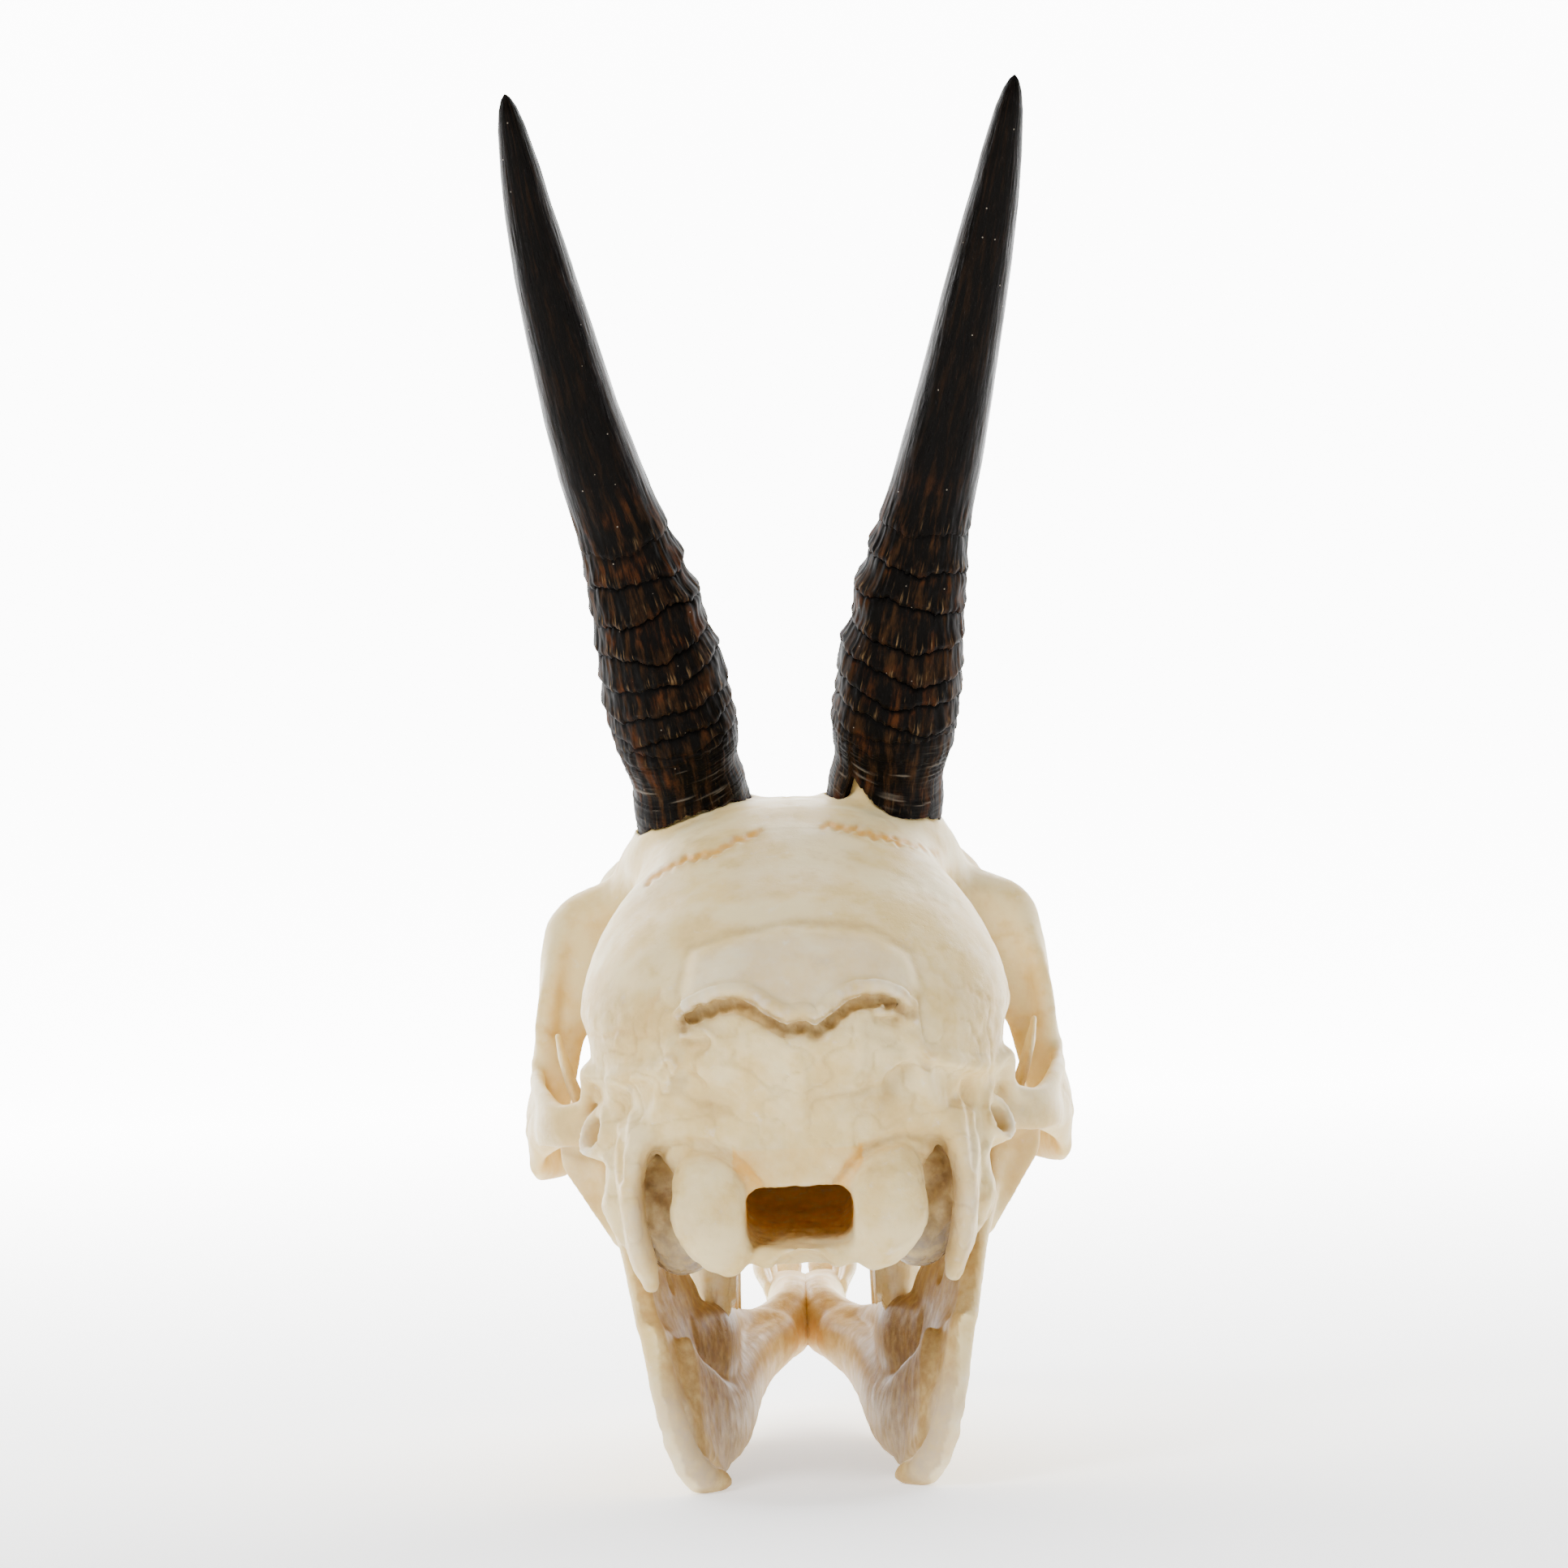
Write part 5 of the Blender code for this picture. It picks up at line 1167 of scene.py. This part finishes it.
def sculpt_mandible():
    clay = Clay((-3, 4, -1), (40, 158, 71))
    tooth_edge = loft([
        (18.2, 44, 20.0, 1.6, 3.6), (16.4, 53, 18.6, 2.6, 6.2), (15.0, 62, 17.6, 3.5, 7.2),
        (14.7, 77, 16.4, 3.8, 7.6), (14.5, 92, 15.8, 3.7, 7.4), (13.6, 105, 15.2, 3.3, 6.4),
        (11.2, 114, 14.6, 3.3, 5.0), (7.0, 121, 14.4, 4.2, 4.8), (2.8, 129, 15.8, 3.8, 5.6),
        (2.4, 138, 17.8, 3.6, 4.8), (2.6, 147, 19.0, 4.2, 3.2), (3.2, 152.5, 20.4, 4.2, 2.2),
    ], power=2.3)
    lower_edge = loft([
        (18.2, 19, 12.4, 2.0, 11.0), (16.8, 30, 10.6, 2.2, 8.6), (15.2, 42, 8.6, 2.7, 7.6),
        (13.8, 54, 6.6, 3.1, 6.4), (12.8, 67, 6.2, 3.3, 6.3), (11.9, 80, 6.6, 3.3, 6.4),
        (10.9, 92, 8.2, 3.1, 6.4), (9.6, 102, 10.2, 2.9, 5.8), (7.6, 111, 12.0, 2.8, 4.8),
        (4.6, 119, 13.8, 3.2, 4.0),
    ], power=2.2)
    turned = (math.cos(math.radians(9)), math.sin(math.radians(9)), 0)
    blade = loft([
        (15.6, 29.0, 3.4, 1.5, 15.5), (16.6, 31.0, 8.0, 1.4, 20.8), (17.8, 33.0, 14.0, 1.3, 24.2),
        (19.6, 35.5, 22.0, 1.3, 25.6), (21.8, 36.0, 30.0, 1.3, 22.0), (24.2, 36.5, 38.0, 1.3, 17.0),
        (26.0, 36.5, 44.0, 1.3, 13.5),
    ], side=turned, power=2.4, cap=0.5)
    neck = loft([
        (25.4, 29.5, 38.0, 1.6, 8.0), (27.0, 30.0, 43.0, 1.8, 6.6), (28.8, 30.2, 49.5, 2.8, 3.4),
    ], side=turned)
    coronoid = loft([
        (25.0, 47.0, 40.0, 1.3, 6.6), (28.0, 47.0, 48.0, 1.1, 5.4), (31.6, 46.4, 54.0, 1.0, 4.6),
        (33.9, 45.6, 58.6, 0.9, 3.8), (35.4, 44.2, 63.6, 0.75, 2.6), (36.2, 42.6, 67.6, 0.5, 1.1),
    ])
    fan = loft([
        (27.2, 27.6, 38.0, 1.6, 1.6), (28.4, 28.2, 41.8, 2.8, 1.3), (29.4, 28.8, 45.5, 4.2, 1.4),
        (30.0, 29.4, 49.0, 5.8, 1.8), (29.9, 29.8, 51.2, 6.2, 2.0),
    ])
    angle_plate = loft([
        (20.0, 15.0, 13.0, 1.5, 5.5), (18.9, 16.0, 8.0, 1.7, 5.5), (17.2, 18.5, 4.2, 1.8, 5.0),
    ])
    rear_edge = [
        (27.6, 27.4, 45.0, 1.5), (26.2, 22.0, 39.0, 1.6), (24.4, 16.8, 31.0, 1.6),
        (22.4, 11.8, 21.0, 1.8), (20.8, 10.0, 13.0, 2.0), (18.8, 11.6, 6.4, 2.2), (16.4, 15.0, 2.9, 2.3),
        (14.0, 17.6, 2.0, 1.7), (12.8, 18.4, 1.6, 0.9),
    ]
    for form in (tooth_edge, lower_edge, blade, angle_plate, neck, coronoid, fan):
        clay.fill(form, 1.8)
    clay.strut(rear_edge, 1.6)
    clay.fill(jaw_condyle(), 1.0)
    clay.slice_off(0, -SYMPHYSIS_OVERLAP)
    clay.slice_off(2, FLOOR_FLAT)
    return clay


# Horns

HORN_DEPTH = 1.1  # a horn's front-to-back size as a share of its width
HORN_SLANT = 1.2  # how much lower the sheath's outer edge hangs
HORN_OUTLINE = (  # share of the length, radius
    (0.0, 9.1), (0.05, 8.9), (0.12, 7.5), (0.20, 7.8), (0.30, 7.3), (0.36, 6.8), (0.43, 6.6), (0.50, 6.3),
    (0.62, 5.45), (0.70, 4.95), (0.767, 4.45), (0.83, 3.8), (0.90, 3.0), (0.955, 2.1), (0.98, 1.4),
    (0.993, 0.75), (1.0, 0.05),
)
HORN_LIPS = (  # share of the length, height of the lip
    (0.122, 0.30), (0.142, 0.45), (0.165, 0.70), (0.195, 0.80), (0.230, 0.90), (0.272, 1.00),
    (0.318, 1.00), (0.366, 0.80), (0.410, 0.50),
)
HORN_KNOBS = (  # share of the length, degrees from the outer side, height, reach along the horn
    (0.425, 150, 0.35, 2.6), (0.372, 190, 0.6, 2.4), (0.315, 175, 1.0, 2.6), (0.230, 180, 0.7, 3.4),
    (0.262, 300, 0.4, 2.2), (0.345, 20, 0.35, 1.8),
)
HORN_RIM = {  # degrees from the outer side, by way of the rear, and the rise of the rim there
    1: (
        (0, 2.2), (45, 5.2), (88, 5.0), (138, 8.9), (142, 3.8), (165, 1.8), (180, 0.3), (330, 0.3),
        (360, 2.2),
    ),
    -1: (
        (0, 1.0), (45, 4.8), (90, 6.4), (135, 5.1), (165, 1.8), (180, 0.3), (330, 0.3), (360, 1.0),
    ),
}
HORN_RIM_REACH = 16.0  # how far up the rim's rise fades out
HORN_HOLLOW = ((0.12, 7.0), (0.06, 7.5), (0.006, 7.7))  # share of the length, radius inside
HOLLOW_REACH = 0.14
RINGED_END = 0.46  # the share of the length that gets three quarters of the grid
HORN_GRID = ((224, 480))


def ring_waves(turns, draw, strengths):
    """A wavy line round the horn, with less of each finer wave."""
    total = np.zeros_like(turns)
    for count, strength in strengths:
        total += strength * np.sin(count * turns + draw.uniform(0, 2 * math.pi))
    return total


def horn_rise(side, turns):
    """How far above its lowest ring the ragged rim of the sheath lies, all round."""
    degrees = np.degrees(turns) % 360
    ragged = noise(np.stack([np.cos(turns), np.sin(turns), 0 * turns + side], 1), 0.13, 3)
    fine = noise(np.stack([degrees, degrees, 0 * degrees + side], 1), 3.0, 5)
    return np.interp(degrees, *zip(*HORN_RIM[side])) + 0.30 * ragged + 0.22 * fine


def horn_relief(side, length, turn):
    """The lift of the rings and fibres over the plain outline, and what is painted there."""
    draw = np.random.default_rng(5 + side)
    turns = turn[0]
    lift, droop, crevice_shade, lip = (np.zeros_like(length) for _ in range(4))
    for at, height in HORN_LIPS:
        wave = ring_waves(turns, draw, ((1, 0.5), (2, 0.35), (3, 0.3), (5, 0.25), (9, 0.18)))
        wave += ring_waves(turns, draw, ((17, 0.10), (29, 0.10), (43, 0.08)))
        tall = height * (1 + 0.3 * ring_waves(turns, draw, ((1, 0.5), (2, 0.6), (4, 0.5), (7, 0.4))))
        over = length - at * HORN_LENGTH - wave
        past = np.maximum(over, 0)
        above = np.exp(-past / 1.9) * ramp(past, -0.5, 0.9)
        below = np.exp(np.minimum(over, 0) / 0.45) * (over <= 0)
        lift += tall * (above - 0.5 * below)
        droop += 0.32 * tall * np.exp(-past / 0.6) * (over > 0)
        # painted shade in the crevice under each lip
        crevice_shade = np.maximum(crevice_shade, np.exp(-((over + 0.45) / 0.42) ** 2) * min(1.0, height * 1.3))
        lip = np.maximum(lip, np.exp(-((over - 0.9) / 1.0) ** 2) * height)
    for at, degrees, height, reach in HORN_KNOBS:
        away = (np.degrees(turn) - degrees + 180) % 360 - 180
        along = (length - at * HORN_LENGTH) / reach
        lift += height * np.exp(-((away / 46) ** 2) - along**2)
    grain = np.stack([np.cos(turn) * 6, np.sin(turn) * 6, length * 0.13 + 3 * side], axis=-1)
    flat = grain.reshape(-1, 3)
    share = length / HORN_LENGTH
    ringed = ramp(share, 0.50, 0.36) * ramp(share, 0.07, 0.13)
    fibres = (noise(flat, 0.42, 31) + 0.6 * noise(flat, 0.2, 32)).reshape(length.shape)
    lift = ringed * lift + fibres * (0.03 + 0.10 * ringed)
    layers = flat * (0.35, 0.35, 26.0)
    layered = (noise(layers, 1.3, 33) + 0.6 * noise(layers, 0.6, 34)).reshape(length.shape)
    base = ramp(share, 0.15, 0.11)
    lift += 0.13 * base * layered
    paint = {"crevice_shade": crevice_shade * ringed, "lip": lip, "share": share}
    powder = 0.8 * ramp(length, 1.6, 0.0) * ramp(fibres, -0.2, 0.9)
    paint["dust"] = base * (0.5 * ramp(layered, 0.5, 1.3) + powder)
    return lift, droop * ringed, paint, grain


def build_horn(name, side, look):
    """A closed horn sheath: its outside, its ragged rim and the wall of its hollow base."""
    around, along = HORN_GRID
    turns = np.linspace(0, 2 * math.pi, around, endpoint=False)
    lengths = HORN_LENGTH * np.concatenate(
        [np.linspace(0, RINGED_END, 3 * along // 4), np.linspace(RINGED_END, 0.998, along // 4)[1:]]
    )
    length, turn = np.meshgrid(lengths, turns, indexing="ij")
    rise = horn_rise(side, turns)
    lifted = rise * np.clip(1 - length / HORN_RIM_REACH, 0, 1)
    length = length + lifted
    lift, droop, paint, grain = horn_relief(side, length, turn)
    radius = np.interp(length / HORN_LENGTH, *zip(*HORN_OUTLINE)) + lift
    rows = [
        (lengths[i] / HORN_LENGTH, radius[i], HORN_DEPTH, lifted[i] - droop[i])
        for i in range(len(lengths))
    ]
    inner = [
        (share, np.full(around, wall), CORE_DEPTH, rise * (1 - share / HOLLOW_REACH))
        for share, wall in HORN_HOLLOW
    ]
    bevel = [(0.0, radius[0] - cut, HORN_DEPTH, rise + up) for cut, up in ((0.55, 0.3), (0.2, -0.1))]
    rings = [
        horn_ring(side, share, turns, wide, deep, shift)
        for share, wide, deep, shift in [*inner, *bevel, *rows]
    ]
    points, triangles = tube(rings, horn_frame(side, 0.13)[0], horn_frame(side, 1.0)[0])
    extra = (len(inner) + len(bevel)) * around
    # the hollow base's wall and bevel are painted fully as crevice shade
    for title, within in (("crevice_shade", 1.0), ("lip", 0.0), ("share", 0.0), ("dust", 0.0)):
        paint[title] = np.concatenate([np.full(extra, within), paint[title].reshape(-1), (within, 0.0)])
    filler = np.zeros((extra, 3))
    paint["grain"] = np.vstack([filler, grain.reshape(-1, 3), np.zeros((2, 3))])
    return mesh_object(name, points, facing_out(side, triangles), look, paint)


# Looks


class Look:
    """A procedural material, built from short calls that return sockets."""

    def __init__(self, name):
        self.material = bpy.data.materials.new(name)
        self.material.use_nodes = True
        self.tree = self.material.node_tree
        self.shader = self.tree.nodes["Principled BSDF"]
        self.place = self.node("ShaderNodeTexCoord").outputs["Object"]

    def node(self, kind, values=(), **settings):
        made = self.tree.nodes.new(kind)
        for key, value in settings.items():
            setattr(made, key, value)
        for key, value in dict(values).items():
            self.feed(next(s for s in made.inputs if s.identifier == key), value)
        return made

    def feed(self, socket, value):
        if isinstance(value, bpy.types.NodeSocket):
            self.tree.links.new(value, socket)
        else:
            socket.default_value = value

    def painted(self, name):
        """A value painted on the skin."""
        return self.node("ShaderNodeAttribute", attribute_name=name).outputs["Fac"]

    def along(self, name):
        """A position painted on the skin."""
        return self.node("ShaderNodeAttribute", attribute_name=name).outputs["Vector"]

    def stretched(self, vector, factors):
        scaled = self.node("ShaderNodeVectorMath", {"Vector": vector, "Vector_001": factors},
                           operation="MULTIPLY")
        return scaled.outputs["Vector"]

    def cloud(self, size, detail=3.0, roughness=0.55, vector=None, unit=MM):
        """Soft noise from 0 to 1 whose cells have that size."""
        values = {"Vector": vector or self.place, "Scale": 1 / (size * unit), "Detail": detail,
                  "Roughness": roughness}
        return self.node("ShaderNodeTexNoise", values).outputs["Fac"]

    def cells(self, size):
        """The distance to the nearest of scattered points, from 0 to about 1."""
        values = {"Vector": self.place, "Scale": 1 / (size * MM)}
        return self.node("ShaderNodeTexVoronoi", values).outputs["Distance"]

    def span(self, value, low, high, start=0.0, end=1.0):
        """The value, carried smoothly from low..high to start..end."""
        values = {"Value": value, "From Min": low, "From Max": high, "To Min": start, "To Max": end}
        return self.node("ShaderNodeMapRange", values, interpolation_type="SMOOTHSTEP").outputs["Result"]

    def combine(self, operation, first, second):
        values = {"Value": first, "Value_001": second}
        return self.node("ShaderNodeMath", values, operation=operation).outputs["Value"]

    def times(self, first, second):
        return self.combine("MULTIPLY", first, second)

    def blend(self, base, colour, share):
        values = {"A_Color": base, "B_Color": colour, "Factor_Float": share}
        mixed = self.node("ShaderNodeMix", values, data_type="RGBA")
        return next(s for s in mixed.outputs if s.identifier == "Result_Color")

    def bump(self, height, depth, strength=1.0, under=None):
        values = {"Height": height, "Distance": depth * MM, "Strength": strength}
        if under:
            values["Normal"] = under
        return self.node("ShaderNodeBump", values).outputs["Normal"]

    def finish(self, colour, roughness, normal, glow=0.0, gloss=0.5):
        """Feeds the shader: glow is the share of light that passes under the surface."""
        for name, value in (
            ("Base Color", colour), ("Roughness", roughness), ("Normal", normal),
            ("Subsurface Weight", glow), ("Subsurface Scale", MM),
            ("Subsurface Radius", (1.0, 0.75, 0.5)), ("Specular IOR Level", gloss),
        ):
            self.feed(self.shader.inputs[name], value)
        return self.material


IVORY = (0.74, 0.54, 0.22, 1)
CREAM = (0.82, 0.665, 0.35, 1)
TAN = (0.46, 0.30, 0.105, 1)
OCHRE = (0.56, 0.29, 0.07, 1)
AMBER = (0.80, 0.40, 0.035, 1)
EMBER = (0.66, 0.32, 0.03, 1)
BROWN = (0.19, 0.10, 0.045, 1)
HORN_GREY = (0.27, 0.225, 0.185, 1)
CHALK = (0.86, 0.85, 0.80, 1)


def bone_look():
    """Dry, cleaned bone: mottled ivory, painted shade in tan in its hollows, and stains and painted shade
    where they are painted.
    """
    look = Look("bone")
    mottle = look.cloud(9.0, 4.0)
    fleck = look.cloud(2.2, 4.0, 0.65)
    colour = look.blend(CREAM, IVORY, look.span(mottle, 0.36, 0.62))
    colour = look.blend(colour, TAN, look.span(look.cloud(4.5, 5.0, 0.6), 0.52, 0.80, 0.0, 0.34))
    colour = look.blend(colour, CHALK, look.span(fleck, 0.60, 0.80, 0.0, 0.30))
    uneven = look.span(fleck, 0.30, 0.70, 0.55, 1.0)
    # hollow is painted shade; tan and brown carry both stains and painted shade; the rest are the bone's
    # own colours
    for name, stain, strength in (
        ("hollow", TAN, 0.85), ("tan", TAN, 0.95), ("stain", OCHRE, 0.9), ("brown", BROWN, 0.9),
        ("grey", HORN_GREY, 0.9), ("amber", AMBER, 1.0), ("ember", EMBER, 1.0), ("chalk", CHALK, 0.85),
    ):
        share = look.times(look.painted(name), uneven)
        colour = look.blend(colour, stain, look.times(share, strength))
    roughness = look.span(look.cloud(3.0), 0.3, 0.7, 0.40, 0.56)
    roughness = look.combine("SUBTRACT", roughness, look.times(look.painted("grey"), 0.2))
    pores = look.span(look.cells(1.3), 0.04, 0.16)
    normal = look.bump(look.cloud(0.9, 5.0, 0.7), 0.07, 0.75)
    normal = look.bump(look.cloud(0.22, 2.0), 0.02, 0.7, normal)
    normal = look.bump(pores, 0.06, 0.45, normal)
    return look.finish(colour, roughness, normal, 0.22, gloss=0.12)


def tooth_look():
    """Enamel, cream to grey, with brown painted shade in its grooves and at its neck."""
    look = Look("enamel")
    colour = look.blend(CREAM, IVORY, look.span(look.cloud(3.0), 0.35, 0.65))
    streaks = look.stretched(look.place, (1.0, 1.0, 0.22))
    lines = look.cloud(0.7, 3.0, 0.6, streaks)
    colour = look.blend(colour, TAN, look.span(lines, 0.50, 0.75, 0.0, 0.5))
    # painted shade: brown where the tooth's hollows are, broken up by the streaks
    share = look.times(look.painted("hollow"), look.span(lines, 0.3, 0.7, 0.5, 1.0))
    colour = look.blend(colour, BROWN, share)
    roughness = look.span(look.cloud(1.5), 0.3, 0.7, 0.22, 0.38)
    normal = look.bump(lines, 0.05, 0.6)
    return look.finish(colour, roughness, normal, 0.15)


SHADE_BLACK = (0.0006, 0.0005, 0.0004, 1)
DARK_HORN = (0.0022, 0.0017, 0.0013, 1)
BROWN_HORN = (0.032, 0.0145, 0.0055, 1)
RED_HORN = (0.060, 0.018, 0.005, 1)
FIBRE = (0.18, 0.11, 0.05, 1)
DUST = (0.22, 0.19, 0.15, 1)


def horn_look():
    """Keratin: near black and polished above, brown and fibrous where it is ringed, with painted shade in
    black in the crevices between the rings and in the hollow base.
    """
    look = Look("horn")
    grain = look.along("grain")
    streak = look.cloud(1.0, 5.0, 0.62, grain, 1.0)
    fine = look.cloud(0.32, 3.0, 0.6, look.stretched(grain, (1.0, 1.0, 0.6)), 1.0)
    share = look.painted("share")
    ringed = look.span(share, 0.40, 0.52, 1.0, 0.0)
    base = look.span(share, 0.02, 0.14, 1.0, 0.0)
    brown = look.times(look.span(streak, 0.46, 0.68), look.span(ringed, 0.0, 1.0, 0.22, 0.9))
    colour = look.blend(DARK_HORN, BROWN_HORN, brown)
    red = look.times(look.span(look.cloud(5.0, 3.0), 0.5, 0.72), ringed)
    colour = look.blend(colour, RED_HORN, look.times(red, look.span(streak, 0.4, 0.7)))
    worn = look.combine("MAXIMUM", look.painted("lip"), look.times(base, 0.4))
    fibres = look.times(look.span(fine, 0.56, 0.74), worn)
    colour = look.blend(colour, FIBRE, look.times(fibres, 0.8))
    colour = look.blend(colour, DUST, look.painted("dust"))
    # painted shade: black in the crevices and the hollow base
    colour = look.blend(colour, SHADE_BLACK, look.painted("crevice_shade"))
    specks = look.span(look.cells(2.6), 0.035, 0.06, 0.6, 0.0)
    colour = look.blend(colour, DUST, specks)
    roughness = look.span(streak, 0.3, 0.75, 0.26, 0.50)
    roughness = look.combine("ADD", roughness, look.times(ringed, 0.25))
    normal = look.bump(streak, 0.16, 0.7)
    normal = look.bump(fine, 0.07, 0.7, normal)
    return look.finish(colour, roughness, normal, gloss=0.04)


# Stage


def camera():
    """The photo's camera, whose roll gives the skull's slight lean."""
    data = bpy.data.cameras.new("camera")
    eye = placed("camera", data)
    data.sensor_width = 36
    data.lens = 36 * FOCAL_PIXELS / PHOTO_SIDE
    data.clip_start = 0.01
    eye.location = Vector((np.array(CAMERA_SPOT) - ORIGIN) * MM)
    roll = math.radians(CAMERA_ROLL_DEG)
    turn = Matrix.Rotation(math.pi / 2, 3, "X") @ Matrix.Rotation(roll, 3, "Z")
    eye.rotation_euler = turn.to_euler()
    bpy.context.scene.camera = eye


def stage():
    """A pale floor that bends up behind the skull and glows more the farther back it lies."""
    half, back, rise, bend = 3.0, 1.6, 2.5, 0.5
    profile = [(-2.5, 0.0), (back - bend, 0.0)]
    profile += [
        (back - bend + bend * math.sin(t), bend - bend * math.cos(t))
        for t in np.linspace(0, math.pi / 2, 17)[1:]
    ]
    profile += [(back, rise)]
    points = [(x, y, z) for y, z in profile for x in (-half, half)]
    faces = [(2 * i, 2 * i + 1, 2 * i + 3, 2 * i + 2) for i in range(len(profile) - 1)]
    mesh = bpy.data.meshes.new("floor")
    mesh.from_pydata(points, [], faces)
    mesh.shade_smooth()
    floor = placed("floor", mesh)
    look = Look("floor")
    depth = look.node("ShaderNodeSeparateXYZ", {"Vector": look.place}).outputs["Y"]
    look.feed(look.shader.inputs["Emission Strength"], look.span(depth, -0.3, 1.3, 0.3, 9.0))
    look.feed(look.shader.inputs["Emission Color"], (1, 1, 1, 1))
    look.feed(look.shader.inputs["Base Color"], (0.9, 0.9, 0.9, 1))
    look.feed(look.shader.inputs["Roughness"], 0.8)
    mesh.materials.append(look.material)


def lights():
    """A dim white room with a key light from above the camera's left, a fill and a top light."""
    world = bpy.data.worlds.new("studio")
    bpy.context.scene.world = world
    world.use_nodes = True
    background = world.node_tree.nodes["Background"].inputs
    background["Color"].default_value = (1, 1, 1, 1)
    background["Strength"].default_value = 0.12
    aim = Vector((0, 0, 0.1))
    for name, spot, watts, size in (  # place and size in metres
        ("key", (-0.60, -0.90, 1.05), 19, 0.4), ("fill", (0.95, -0.75, 0.30), 2, 0.8),
        ("top", (0.1, 0.1, 1.5), 6, 0.9),
    ):
        data = bpy.data.lights.new(name, "AREA")
        data.energy = watts
        data.size = size
        lamp = placed(name, data)
        lamp.location = spot
        lamp.rotation_euler = (aim - Vector(spot)).to_track_quat("-Z", "Y").to_euler()


# Building


def ride(piece, replaced):
    """Hands a piece over, with the solid that it takes the place of, if any."""
    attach(piece, "root")
    if replaced:
        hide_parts(replaced)


def mirror(skin):
    """The same skin on the left."""
    twin = Skin(skin.points * (-1, 1, 1), skin.quads[:, ::-1], skin.clay)
    twin.paint = skin.paint
    return twin


def build_bones():
    bone, enamel = bone_look(), tooth_look()
    skin = sculpt_cranium().skin()
    skin.smooth(2)
    detail_cranium(skin)
    ride(skin.object("cranium_bone", bone), "cranium")
    sculpted = (
        ("nasal_bone", "nasal", sculpt_nasal(), 1, bone, paint_shade_in_hollows),
        ("premaxillary_bone", "premaxilla", sculpt_premaxilla(), 1, bone, paint_shade_in_hollows),
        ("jaw_bone", "mandible", sculpt_mandible(), 2, bone, detail_jaw),
        ("upper_cheek_teeth", None, tooth_row(UPPER_TEETH, 6.0, -1), 1, enamel, paint_shade_in_hollows),
        ("lower_cheek_teeth", None, tooth_row(LOWER_TEETH, 6.8, 1), 1, enamel, paint_shade_in_hollows),
        ("front_teeth", None, incisors(), 1, enamel, paint_shade_in_hollows),
    )
    for title, node, clay, rounds, look, detail in sculpted:
        skin = clay.skin()
        skin.smooth(rounds)
        detail(skin)
        for word, half in (("right", skin), ("left", mirror(skin))):
            ride(half.object(f"{title}_{word}", look), node and f"{node}_{word}")


def build_horns():
    look = horn_look()
    for word, side in (("right", 1), ("left", -1)):
        horn = build_horn(f"horn_sheath_{word}", side, look)
        ride(horn, f"horn_{word}")


build_bones()
build_horns()
camera()
stage()
lights()
